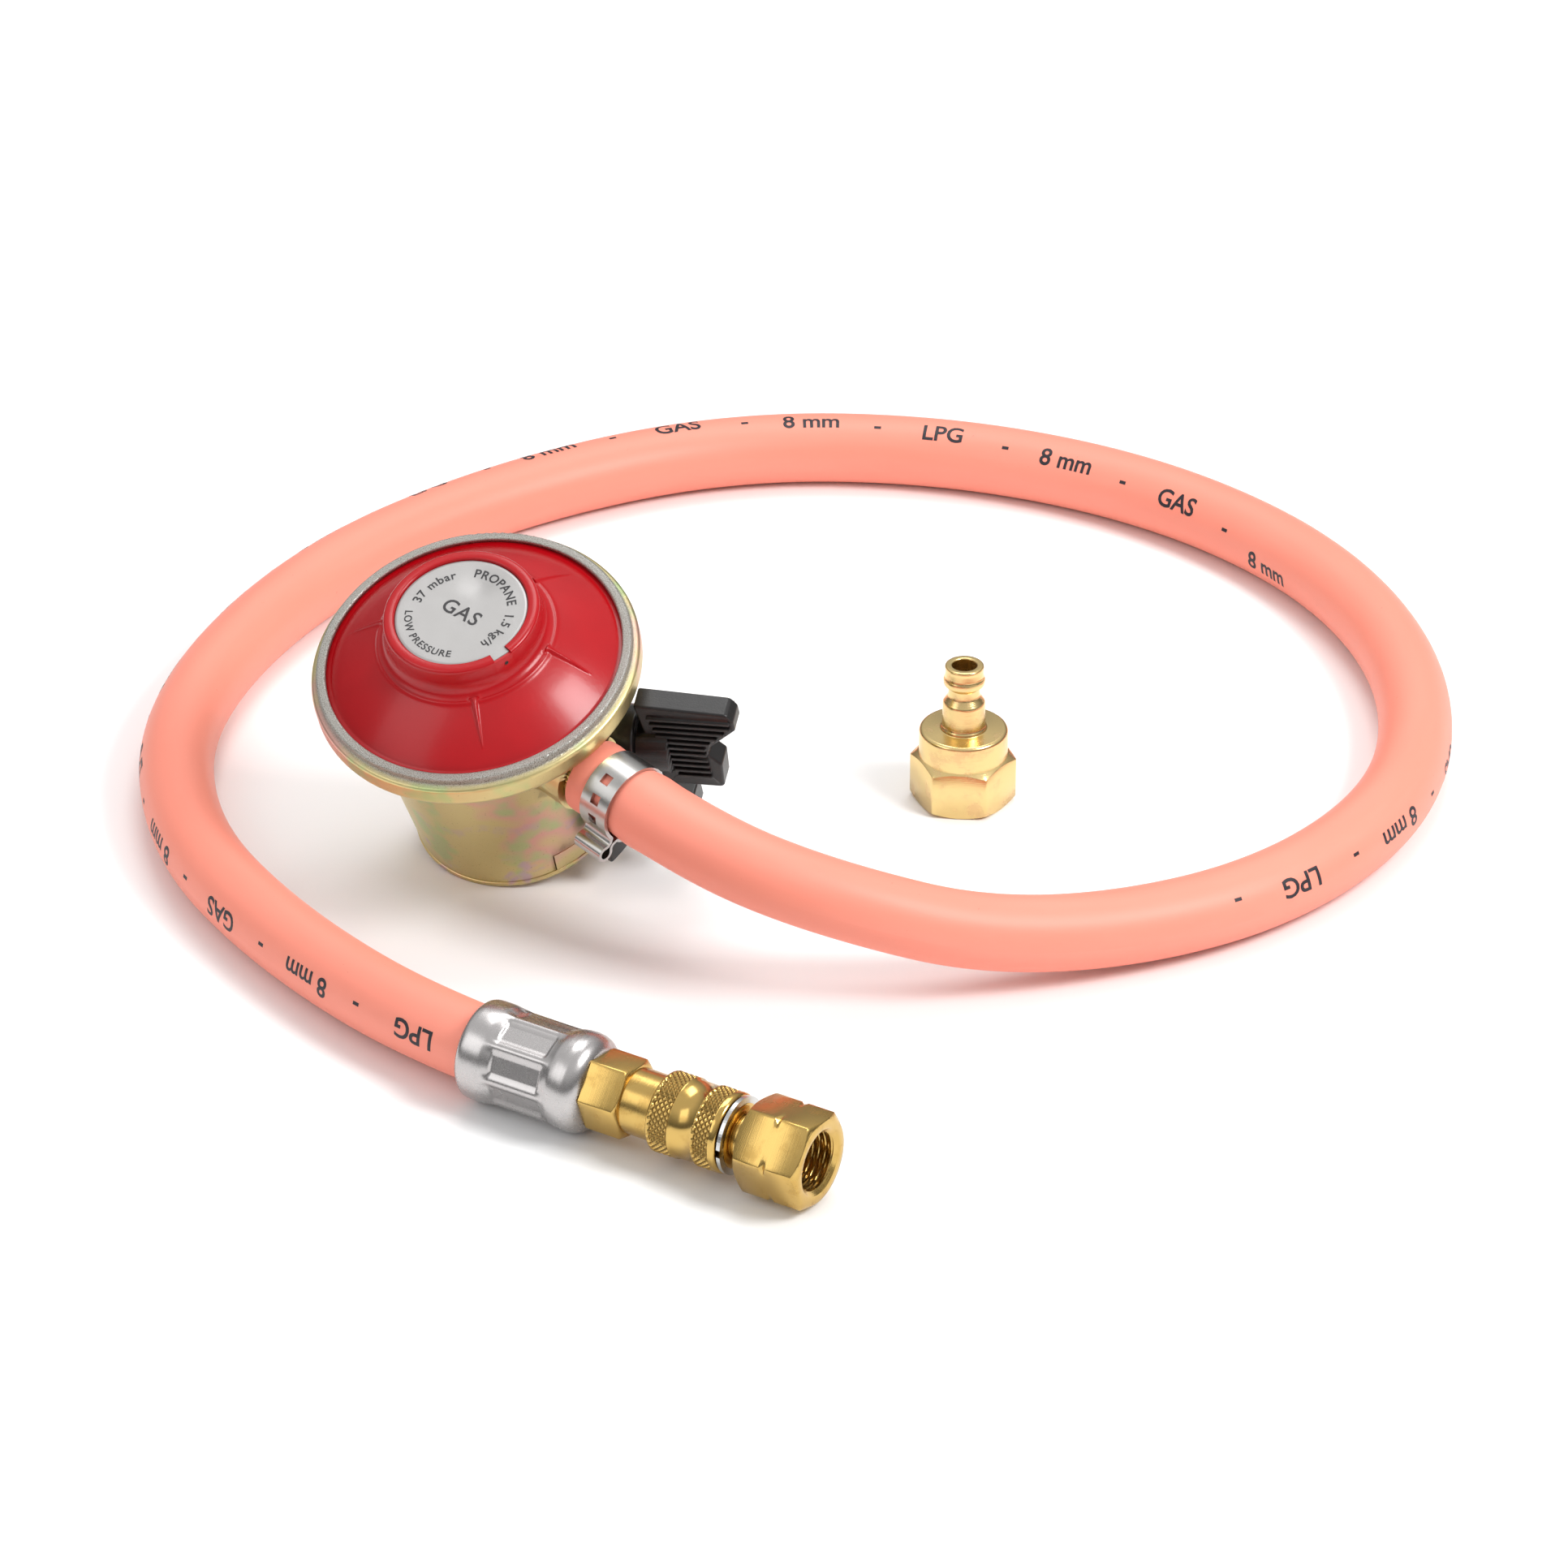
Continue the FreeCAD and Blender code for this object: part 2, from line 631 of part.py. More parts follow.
def stem_nut():
    """The nut that clamps plate and diaphragm to the stem."""
    low = LEDGE_Z + DIAPHRAGM_THICK + PLATE_THICK
    return hexagon(NUT_AF, low, low + NUT_THICK).cut(rod(STEM_R, low, low + NUT_THICK))


def lever_pin_rod(radius):
    """The pivot pin's shape, across both posts."""
    half = LEVER_W / 2 + FREE_GAP + POST_W
    pin = Part.makeCylinder(radius, 2 * half, Vector(PIVOT_X, -half, PIVOT_Z), Vector(0, 1, 0))
    return pin


def inner_lever():
    """The lever from the stem's fork to the valve pad."""
    low = PIVOT_Z - LEVER_THICK / 2
    high = PIVOT_Z + LEVER_THICK / 2
    bar = slab(SEAT_X - PAD_R, -STEM_COLLAR_R - 0.6, LEVER_W / 2, low, high)
    hub = Part.makeCylinder(1.5, LEVER_W, Vector(PIVOT_X, -LEVER_W / 2, PIVOT_Z), Vector(0, 1, 0))
    fork = slab(-STEM_COLLAR_R - 1.6, FORK_REACH, FORK_W / 2, low, high)
    slot = slab(-STEM_R - 0.5, FORK_REACH, STEM_R + 0.5, low, high)
    holder = rod(PAD_R, SEAT_TOP_Z + PAD_GAP + PAD_THICK, low, x=SEAT_X)
    lever = bar.fuse(hub).fuse(fork).cut(slot).fuse(holder)
    hole = Part.makeCylinder(LEVER_PIN_R + RUN_FIT, LEVER_W, Vector(PIVOT_X, -LEVER_W / 2, PIVOT_Z),
                             Vector(0, 1, 0))
    return lever.cut(hole).removeSplitter()


def valve_pad():
    """The rubber pad that closes the orifice."""
    low = SEAT_TOP_Z + PAD_GAP
    return rod(PAD_R, low, low + PAD_THICK, x=SEAT_X)


def seat_nozzle():
    """The brass orifice that the pad closes."""
    seat = spun([
        (ORIFICE_R, SEAT_FOOT_Z + 3.0), (SEAT_R, SEAT_FOOT_Z + 3.0), (SEAT_R, CHAMBER_FLOOR_Z),
        (SEAT_NOSE_R, CHAMBER_FLOOR_Z), (SEAT_NOSE_R - 0.9, SEAT_TOP_Z), (ORIFICE_R, SEAT_TOP_Z),
    ])
    seat.translate(Vector(SEAT_X, 0, 0))
    return seat


def inlet_stem():
    """The screwed-in inlet with the pocket for the plunger's spring."""
    body_low = STEM_RECESS_Z - STEM_BODY_THICK
    return spun([
        (STEM_BORE_R, STEM_NOSE_Z), (STEM_NOSE_R, STEM_NOSE_Z), (STEM_NOSE_R, body_low),
        (STEM_BODY_R, body_low), (STEM_BODY_R, STEM_RECESS_Z), (STEM_SHANK_R, STEM_RECESS_Z),
        (STEM_SHANK_R, STEM_SHANK_TOP_Z), (STEM_POCKET_R, STEM_SHANK_TOP_Z),
        (STEM_POCKET_R, STEM_POCKET_Z), (STEM_BORE_R, STEM_POCKET_Z),
    ])


def inlet_seal():
    """The flat rubber ring that meets the cylinder valve."""
    high = STEM_RECESS_Z - STEM_BODY_THICK
    return tube(SEAL_R, STEM_NOSE_R, high - SEAL_THICK, high)


def plunger_head_z():
    """Height of the underside of the plunger's head."""
    return SWITCH_Z - CAM_R - FREE_GAP - PLUNGER_HEAD_THICK


def inlet_plunger():
    """The pin that the cam pushes down to open the cylinder valve."""
    under = plunger_head_z()
    return spun([
        (0, PLUNGER_TIP_Z), (PLUNGER_R - 0.3, PLUNGER_TIP_Z), (PLUNGER_R, PLUNGER_TIP_Z + 0.3),
        (PLUNGER_R, under), (PLUNGER_HEAD_R, under), (PLUNGER_HEAD_R, under + PLUNGER_HEAD_THICK),
        (0, under + PLUNGER_HEAD_THICK),
    ])


def cam_outline():
    """The cam's closed curve: its radius grows evenly over a quarter turn."""
    points = []
    for index in range(CAM_STEPS):
        angle = 360.0 * index / CAM_STEPS
        if angle <= 90:
            share = angle / 90
        elif angle <= 150:
            share = 1.0
        elif angle <= 330:
            share = (330 - angle) / 180
        else:
            share = 0.0
        radius = CAM_R + PLUNGER_TRAVEL * share
        turn = math.radians(angle)
        points.append(Vector(radius * math.cos(turn), radius * math.sin(turn), -CAM_HALF))
    curve = Part.BSplineCurve()
    curve.interpolate(points, PeriodicFlag=True)
    return Part.Face(Part.Wire(curve.toShape()))


def switch_spindle():
    """The spindle with its cam, seal groove and square drive."""
    cam = cam_outline().extrude(Vector(0, 0, 2 * CAM_HALF))
    spindle = rod(SPINDLE_R, SPINDLE_END, -CAM_HALF).fuse(rod(SPINDLE_R, CAM_HALF, SPINDLE_SHOULDER))
    spindle = spindle.fuse(cam).fuse(rod(SPINDLE_NECK_R, SPINDLE_SHOULDER, SPINDLE_DRIVE))
    groove = tube(SPINDLE_R + 1, SPINDLE_R - ORING_DEPTH, ORING_AT, ORING_AT + ORING_W)
    half = DRIVE_AF / 2
    drive = Part.makeBox(DRIVE_AF, DRIVE_AF, SPINDLE_DRIVE_END - SPINDLE_DRIVE,
                         Vector(-half, -half, SPINDLE_DRIVE))
    return radial(spindle.cut(groove).fuse(drive).removeSplitter(), SWITCH_AZ_DEG, SWITCH_Z)


def spindle_seal():
    """The O-ring in the spindle's groove."""
    ring = tube(SPINDLE_R, SPINDLE_R - ORING_DEPTH, ORING_AT + 0.2, ORING_AT + ORING_W - 0.2)
    return radial(ring, SWITCH_AZ_DEG, SWITCH_Z)


def switch_housing():
    """The black bush that holds the spindle in the boss."""
    housing = spun([
        (0, BOSS_SWITCH_END), (BOSS_SWITCH_R, BOSS_SWITCH_END), (BOSS_SWITCH_R, HOUSING_END, MOULD_ROUND),
        (0, HOUSING_END),
    ])
    housing = housing.fuse(rod(HOUSING_SPIGOT_R, 22.0, BOSS_SWITCH_END))
    housing = housing.cut(rod(SPINDLE_NECK_R + RUN_FIT, 22.0, HOUSING_END))
    return radial(housing.removeSplitter(), SWITCH_AZ_DEG, SWITCH_Z)


def switch_lever():
    """The black wing with grip ribs on both faces; OFF points up the axis."""
    half = WING_THICK / 2
    wing = outline_face([
        (WING_ROOT, WING_TOP, MOULD_ROUND), (WING_TIP - 1.2, WING_TOP - 1.2, 1.5),
        (WING_TIP, WING_TOP - 3.2, 1.2), (WING_TIP, WING_TOP - 5.8, 1.0),
        (NOTCH_AT + 0.8, 2.2, 1.2), (NOTCH_AT, -0.2, 0.6),
        (NOTCH_AT + 2.4, -3.0, 1.0), (NOTCH_AT + 1.8, WING_LOW, 1.0),
        (WING_ROOT + 2.8, WING_LOW, MOULD_ROUND), (WING_ROOT + 1.6, -1.0),
    ], -half).extrude(Vector(0, WING_THICK, 0))
    faces = [face for face in wing.Faces if abs(face.normalAt(0, 0).y) > 0.999]
    wing = wing.makeFillet(MOULD_ROUND, [edge for face in faces for edge in face.Edges])
    lowest = WING_LOW + WING_CUT
    pitch = (WING_TOP - WING_CUT - lowest) / (GRIP_RIBS - 1)
    for index in range(GRIP_RIBS):
        height = lowest + index * pitch
        reach = min(WING_TIP - 0.8, NOTCH_AT - 0.2 + max(0.0, height - 2.4))
        start = WING_ROOT + 6.8 - 0.22 * (height - WING_LOW)
        rib = slab(start, reach, half + GRIP_RIB_H, height - RIB_HALF, height + RIB_HALF)
        wing = wing.fuse(rib.makeFillet(RIB_HALF / 2, rib.Edges))
    wing.translate(Vector(0, 0, SWITCH_Z))
    wing = in_switch_line(wing)
    hub = radial(rod(HUB_R, HUB_START, HUB_END), SWITCH_AZ_DEG, SWITCH_Z)
    lever = wing.fuse(hub)
    socket = Part.makeBox(DRIVE_AF, DRIVE_AF, SPINDLE_DRIVE_END - HUB_START,
                          Vector(-DRIVE_AF / 2, -DRIVE_AF / 2, HUB_START))
    return lever.cut(radial(socket, SWITCH_AZ_DEG, SWITCH_Z)).removeSplitter()


def locking_jaw():
    """The sliding steel plate that grips the valve's groove."""
    plate = jaw_outline(0.0, 0.0, JAW_Z, JAW_Z + JAW_THICK)
    plate = plate.cut(rod(JAW_HOLE_R, JAW_Z, JAW_Z + JAW_THICK))
    return in_switch_line(plate.removeSplitter())


def jaw_button():
    """The black thumb piece on the jaw's tongue."""
    outer = BUTTON_IN_R + BUTTON_WALL
    pad = sector(outer, BUTTON_IN_R, BUTTON_LOW_Z, BUTTON_TOP_Z, -BUTTON_HALF_DEG, 2 * BUTTON_HALF_DEG)
    pad = pad.makeFillet(MOULD_ROUND, pad.Edges)
    grip = slab(BUTTON_IN_R + 1.5, GRIP_REACH, GRIP_W / 2, BUTTON_LOW_Z + 0.4, BUTTON_TOP_Z - 1.4)
    grip = grip.makeFillet(MOULD_ROUND, grip.Edges)
    tongue = slab(BUTTON_IN_R - 2, BUTTON_IN_R + 2.0, TONGUE_W / 2, JAW_Z, JAW_Z + JAW_THICK)
    return in_switch_line(pad.fuse(grip).cut(tongue).removeSplitter())


def hose_nozzle():
    """The barbed outlet screwed into the casting."""
    profile = [
        (NOZZLE_BORE_R, NOZZLE_SHANK_IN), (NOZZLE_SHANK_R, NOZZLE_SHANK_IN),
        (NOZZLE_SHANK_R, NOZZLE_BOSS_END), (NOZZLE_COLLAR_R, NOZZLE_BOSS_END),
        (NOZZLE_COLLAR_R, HOSE_START - 0.2), (HOSE_BORE_R, HOSE_START - 0.2),
    ]
    for index in range(BARB_COUNT):
        foot = HOSE_START + 1.0 + index * BARB_PITCH
        profile += [(HOSE_BORE_R, foot), (BARB_R, foot), (HOSE_BORE_R - 0.2, foot + BARB_PITCH - 0.4)]
    end = HOSE_START + 1.0 + BARB_COUNT * BARB_PITCH
    profile += [(HOSE_BORE_R - 0.6, end), (NOZZLE_BORE_R, end)]
    return radial(spun(profile), NOZZLE_AZ_DEG, NOZZLE_Z)


def hose_clamp():
    """The stepless band with its pinched ear."""
    outer = HOSE_R + CLAMP_THICK
    band = tube(outer, HOSE_R, CLAMP_AT, CLAMP_AT + CLAMP_W)
    legs = Part.makeBox(EAR_OUT, EAR_W, CLAMP_W, Vector(outer - 0.3, -EAR_W / 2, CLAMP_AT))
    inside = Part.makeBox(EAR_OUT - 2 * CLAMP_THICK, EAR_W - 2 * CLAMP_THICK, CLAMP_W,
                          Vector(outer + 0.4, -EAR_W / 2 + CLAMP_THICK, CLAMP_AT))
    ear = legs.cut(inside)
    ear.rotate(Vector(0, 0, 0), Vector(0, 0, 1), -55)
    return radial(band.fuse(ear).removeSplitter(), NOZZLE_AZ_DEG, NOZZLE_Z)


# --- hose -------------------------------------------------------------------------
def route_wire():
    """Straight runs joined by tangent arcs through the route's points."""
    points = [Vector(*point) for point in ROUTE]
    edges = []
    here = points[0]
    radii = []
    for before, corner, after in zip(points, points[1:], points[2:]):
        run_in = (corner - before).Length
        run_out = (after - corner).Length
        back = (before - corner).normalize()
        ahead = (after - corner).normalize()
        half_turn = (math.pi - back.getAngle(ahead)) / 2
        trim = RUN_SHARE * min(run_in, run_out)
        radius = trim / math.tan(half_turn)
        radii.append(radius)
        middle = (back + ahead).normalize()
        to_centre = math.hypot(radius, trim)
        start = corner + back * trim
        finish = corner + ahead * trim
        crown = corner + middle * (to_centre - radius)
        edges.append(Part.LineSegment(here, start).toShape())
        edges.append(Part.Arc(start, crown, finish).toShape())
        here = finish
    edges.append(Part.LineSegment(here, points[-1]).toShape())
    print("hose arc radii:", [round(radius, 1) for radius in radii])
    return Part.Wire(edges)


def hose():
    """The hose: its bore and wall along the route."""
    wire = route_wire()
    first = Vector(*ROUTE[0])
    heading = Vector(*ROUTE[1]) - first
    outer = Part.Wire(Part.Circle(first, heading, HOSE_R).toShape())
    inner = Part.Wire(Part.Circle(first, heading, HOSE_BORE_R).toShape())
    skin = wire.makePipeShell([outer], True, False)
    core = wire.makePipeShell([inner], True, False)
    hose_solid = skin.cut(core)
    expected = math.pi * (HOSE_R ** 2 - HOSE_BORE_R ** 2) * wire.Length
    print("hose length %.1f mm, volume ratio %.4f" % (wire.Length, hose_solid.Volume / expected))
    return hose_solid


# --- ferrule, coupler and plug ----------------------------------------------------
def ferrule():
    """The crimped shell, with long pressed flutes and a rolled-in end."""
    outline = [
        (HOSE_R, 0), (FERRULE_R - 0.5, 0), (FERRULE_R, 0.8), (FERRULE_R, 3.6), (FERRULE_R - 0.6, 5.4),
        (FERRULE_R - 0.6, 20.6), (FERRULE_R, 22.4), (FERRULE_R, 24.4), (FERRULE_R - 1.0, 26.2),
        (FERRULE_R - 2.6, FERRULE_END), (TAIL_NECK_R, FERRULE_END),
        (TAIL_NECK_R, HOSE_END), (HOSE_R, HOSE_END),
    ]
    shell = spun(outline)
    for index in range(FLUTES):
        flute = Part.makeBox(3.0, 4.4, FLUTE_LEN, Vector(FERRULE_R - 0.3 - FLUTE_DEPTH, -2.2, FLUTE_START))
        flute.rotate(Vector(0, 0, 0), Vector(0, 0, 1), 360.0 / FLUTES * (index + 0.5))
        shell = shell.cut(flute)
    return shell


def coupler_body():
    """The coupler: barbed tail, hexagon, neck and ball barrel."""
    profile = [(FLOW_BORE_R, TAIL_START), (HOSE_BORE_R - 0.4, TAIL_START)]
    pitch = (HOSE_END - 1.0 - TAIL_START) / TAIL_BARBS
    for index in range(TAIL_BARBS):
        foot = TAIL_START + 0.6 + index * pitch
        crest = foot + 0.8 * pitch
        profile += [(HOSE_BORE_R - 0.2, foot), (TAIL_R, crest), (HOSE_BORE_R - 0.2, crest)]
    profile += [
        (HOSE_BORE_R - 0.2, HOSE_END), (TAIL_NECK_R, HOSE_END), (TAIL_NECK_R, FERRULE_END),
        (COUPLER_NECK_R, FERRULE_END), (COUPLER_NECK_R, GUIDE_START), (GUIDE_R, GUIDE_START),
        (GUIDE_R, BARREL_START), (COUPLER_BARREL_R, BARREL_START), (COUPLER_BARREL_R, COUPLER_END - 0.4),
        (COUPLER_BARREL_R - 0.4, COUPLER_END), (PLUG_BORE_R, COUPLER_END),
        (PLUG_BORE_R, PLUG_BORE_START), (POPPET_BORE_R, PLUG_BORE_START - 1.2),
        (POPPET_BORE_R, POPPET_BORE_START), (FLOW_BORE_R, POPPET_BORE_START - 1.0),
    ]
    body = spun(profile)
    hex_bar = chamfered_hexagon(COUPLER_HEX_AF, FERRULE_END, COUPLER_HEX_END, PLUG_TURN_DEG, break_low=False)
    body = body.fuse(hex_bar.cut(rod(COUPLER_NECK_R - 0.5, FERRULE_END, COUPLER_HEX_END)))
    body = body.cut(tube(PLUG_SEAL_R, PLUG_BORE_R - 1, PLUG_SEAL_AT, PLUG_SEAL_AT + PLUG_SEAL_W))
    for index in range(BALL_COUNT):
        hole = rod(BALL_R + RUN_FIT, PLUG_GROOVE_R, COUPLER_BARREL_R + 1)
        body = body.cut(radial(hole, 360.0 / BALL_COUNT * index, BALL_AT))
    groove = tube(COUPLER_BARREL_R + 1, COUPLER_BARREL_R - SNAP_DEPTH, SNAP_AT - RUN_FIT,
                  SNAP_AT + SNAP_W + RUN_FIT)
    return body.cut(groove).removeSplitter()


def ball_centre_r():
    """Distance of a locked ball's centre from the coupler's axis."""
    return PLUG_GROOVE_R + 0.05 + BALL_R


def lock_ball(index):
    """One locking ball, seated in the plug's groove."""
    ball = Part.makeSphere(BALL_R)
    angle = math.radians(360.0 / BALL_COUNT * index)
    radius = ball_centre_r()
    ball.translate(Vector(radius * math.cos(angle), radius * math.sin(angle), BALL_AT))
    return ball


def coupler_sleeve():
    """The release sleeve: rear guide, hold bore, and the cone that frees the balls."""
    hold_r = ball_centre_r() + BALL_R + SLIDE_FIT
    rear_r = GUIDE_R + RUN_FIT
    cone_at = BALL_AT - 0.2
    mouth_r = hold_r + SLEEVE_MOUTH_SLOPE * (SLEEVE_END - cone_at)
    band_r = SLEEVE_R - SLEEVE_BAND_DEPTH
    return spun([
        (rear_r, SLEEVE_START), (SLEEVE_R - 0.5, SLEEVE_START), (SLEEVE_R, SLEEVE_START + 0.5),
        (SLEEVE_R, BAND_START), (band_r, BAND_START + SLEEVE_BAND_DEPTH),
        (band_r, BAND_END - SLEEVE_BAND_DEPTH), (SLEEVE_R, BAND_END),
        (SLEEVE_R, SLEEVE_END - SLEEVE_EDGE), (SLEEVE_R - SLEEVE_EDGE, SLEEVE_END), (mouth_r, SLEEVE_END),
        (hold_r, cone_at), (hold_r, SLEEVE_STEP_AT), (rear_r, SLEEVE_STEP_AT),
    ])


def snap_ring():
    """The split steel ring that keeps the sleeve on."""
    ring = tube(SNAP_R, COUPLER_BARREL_R - SNAP_DEPTH, SNAP_AT, SNAP_AT + SNAP_W)
    return ring.cut(slab(COUPLER_BARREL_R - 1.5, SNAP_R + 1, SNAP_GAP / 2, SNAP_AT, SNAP_AT + SNAP_W))


def coupler_poppet():
    """The check valve that the plug holds open."""
    return spun([
        (0, POPPET_FACE - POPPET_LEN), (POPPET_STEM_R, POPPET_FACE - POPPET_LEN),
        (POPPET_STEM_R, POPPET_FACE - 2.4),
        (POPPET_HEAD_R, POPPET_FACE - 1.6), (POPPET_HEAD_R, POPPET_FACE - 1.0),
        (POPPET_HEAD_R - 1.2, POPPET_FACE), (0, POPPET_FACE),
    ])


def plug_seal():
    """The O-ring round the plug's nose."""
    return tube(PLUG_SEAL_R, PLUG_R + RUN_FIT, PLUG_SEAL_AT, PLUG_SEAL_AT + PLUG_SEAL_W)


def plug_nut():
    """The brass plug with its hexagon and female thread."""
    groove_low = BALL_AT - PLUG_GROOVE_W / 2
    groove_high = BALL_AT + PLUG_GROOVE_W / 2
    nose = PLUG_NOSE_AT
    plug = spun([
        (FLOW_BORE_R, nose), (PLUG_R - 0.6, nose), (PLUG_R, nose + 1.0), (PLUG_R, groove_low),
        (PLUG_GROOVE_R, groove_low + 0.3), (PLUG_GROOVE_R, groove_high - 0.3), (PLUG_R, groove_high),
        (PLUG_R, COUPLER_END + 0.6), (PLUG_FLANGE_R - 1.6, COUPLER_END + 0.9),
        (PLUG_FLANGE_R, PLUG_HEX_START), (FLOW_BORE_R, PLUG_HEX_START),
    ])
    hex_bar = chamfered_hexagon(PLUG_HEX_AF, PLUG_HEX_START, PLUG_HEX_END, PLUG_TURN_DEG)
    plug = plug.fuse(hex_bar)
    thread_low = PLUG_HEX_END - THREAD_DEPTH
    plug = plug.cut(spun([
        (0, nose), (FLOW_BORE_R, nose), (FLOW_BORE_R, thread_low - 1.0), (THREAD_R, thread_low),
        (THREAD_R, PLUG_HEX_END - 0.8), (THREAD_R + 0.8, PLUG_HEX_END), (0, PLUG_HEX_END),
    ]))
    middle = (PLUG_HEX_START + PLUG_HEX_END) / 2
    corner = PLUG_HEX_AF / math.sqrt(3)
    groove = spun([(corner - 0.55, middle), (corner + 0.5, middle - 0.45), (corner + 0.5, middle + 0.45)])
    return plug.cut(groove).removeSplitter()


def spare_adapter():
    """The loose plug adapter that stands on its hexagon."""
    collar_top = ADAPTER_HEX_H + ADAPTER_COLLAR_H
    tip = collar_top + ADAPTER_NIPPLE_H
    adapter = spun([
        (0, ADAPTER_HEX_H - 1), (ADAPTER_COLLAR_R, ADAPTER_HEX_H - 1), (ADAPTER_COLLAR_R, collar_top - 0.5),
        (ADAPTER_COLLAR_R - 0.5, collar_top), (ADAPTER_NECK_R + 0.45, collar_top),
        (ADAPTER_NECK_R + 0.1, collar_top + 0.8), (ADAPTER_NECK_R, collar_top + 6.0),
        (ADAPTER_GROOVE_R, collar_top + 7.6), (ADAPTER_GROOVE_R, collar_top + 9.6),
        (ADAPTER_NECK_R - 0.1, collar_top + 10.4), (ADAPTER_NECK_R - 0.05, collar_top + 11.5),
        (ADAPTER_NOSE_R, collar_top + 12.2), (ADAPTER_NOSE_R, tip - 0.3),
        (ADAPTER_NOSE_R - 0.3, tip), (0, tip),
    ])
    adapter = adapter.fuse(chamfered_hexagon(ADAPTER_HEX_AF, 0, ADAPTER_HEX_H, ADAPTER_TURN_DEG))
    adapter = adapter.cut(spun([
        (0, 0), (THREAD_R + 0.8, 0), (THREAD_R, 0.8), (THREAD_R, THREAD_DEPTH),
        (FLOW_BORE_R, THREAD_DEPTH + 1.0), (FLOW_BORE_R, tip), (0, tip),
    ]))
    adapter.translate(Vector(ADAPTER_X, ADAPTER_Y, 0))
    return adapter.removeSplitter()


def main_spring():
    """The spring that sets the outlet pressure."""
    low = LEDGE_Z + DIAPHRAGM_THICK + PLATE_THICK
    return coil_spring(MAIN_SPRING_R, MAIN_SPRING_WIRE, low, SCREW_Z, MAIN_SPRING_TURNS)


def plunger_spring():
    """The spring that lifts the plunger off the cylinder valve."""
    return coil_spring(PLUNGER_SPRING_R, PLUNGER_SPRING_WIRE, STEM_POCKET_Z, plunger_head_z(),
                       PLUNGER_SPRING_TURNS)


def sleeve_spring():
    """The spring that holds the coupler's sleeve forwards."""
    return coil_spring(SLEEVE_SPRING_R, SLEEVE_SPRING_WIRE, BARREL_START, SLEEVE_STEP_AT,
                       SLEEVE_SPRING_TURNS)


def poppet_spring():
    """The spring that closes the coupler's check valve."""
    return coil_spring(POPPET_SPRING_R, POPPET_SPRING_WIRE, POPPET_BORE_START, POPPET_FACE - 2.4,
                       POPPET_SPRING_TURNS)


def build():
    """Every piece by node name, in its place."""
    regulator = {
        "body_casting": body_casting(),
        "bottom_ring": bottom_ring(),
        "bonnet": bonnet(),
        "label_disc": label_disc(),
        "adjusting_screw": adjusting_screw(),
        "main_spring": main_spring(),
        "diaphragm": diaphragm(),
        "diaphragm_plate": diaphragm_plate(),
        "diaphragm_stem": diaphragm_stem(),
        "stem_nut": stem_nut(),
        "lever_pin": lever_pin_rod(LEVER_PIN_R),
        "inner_lever": inner_lever(),
        "valve_pad": valve_pad(),
        "seat_nozzle": seat_nozzle(),
        "inlet_stem": inlet_stem(),
        "inlet_seal": inlet_seal(),
        "inlet_plunger": inlet_plunger(),
        "plunger_spring": plunger_spring(),
        "switch_spindle": switch_spindle(),
        "spindle_seal": spindle_seal(),
        "switch_housing": switch_housing(),
        "switch_lever": switch_lever(),
        "locking_jaw": locking_jaw(),
        "jaw_button": jaw_button(),
        "hose_nozzle": hose_nozzle(),
        "hose_clamp": hose_clamp(),
    }
    coupler = {
        "ferrule": ferrule(),
        "coupler_body": coupler_body(),
        "coupler_sleeve": coupler_sleeve(),
        "sleeve_spring": sleeve_spring(),
        "snap_ring": snap_ring(),
        "coupler_poppet": coupler_poppet(),
        "poppet_spring": poppet_spring(),
        "plug_seal": plug_seal(),
        "plug_nut": plug_nut(),
    }
    for index in range(BALL_COUNT):
        coupler["lock_ball_%d" % (index + 1)] = lock_ball(index)
    pieces = {"hose": hose(), "spare_adapter": spare_adapter()}
    for names, placement in ((regulator, REG), (coupler, COUPLER)):
        for name, shape in names.items():
            placed = shape.copy()
            placed.Placement = placement.multiply(placed.Placement)
            pieces[name] = placed
    return pieces


def export(pieces):
    """Write one STEP file per piece."""
    os.makedirs("parts", exist_ok=True)
    for name, shape in pieces.items():
        shape.exportStep("parts/%s.step" % name)


PIECES = build()
export(PIECES)
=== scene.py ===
# %% [markdown]
# # A gas regulator with its hose, quick coupler and spare adapter
#
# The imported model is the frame: every size and place is taken from it. This lesson dresses
# that frame. It replaces the pieces whose surface matters most with finer ones, and gives
# every piece a finish made of shader nodes.

# %% Load the frame
import json
import math
import bmesh
import bpy
import numpy as np
from mathutils import Matrix, Vector


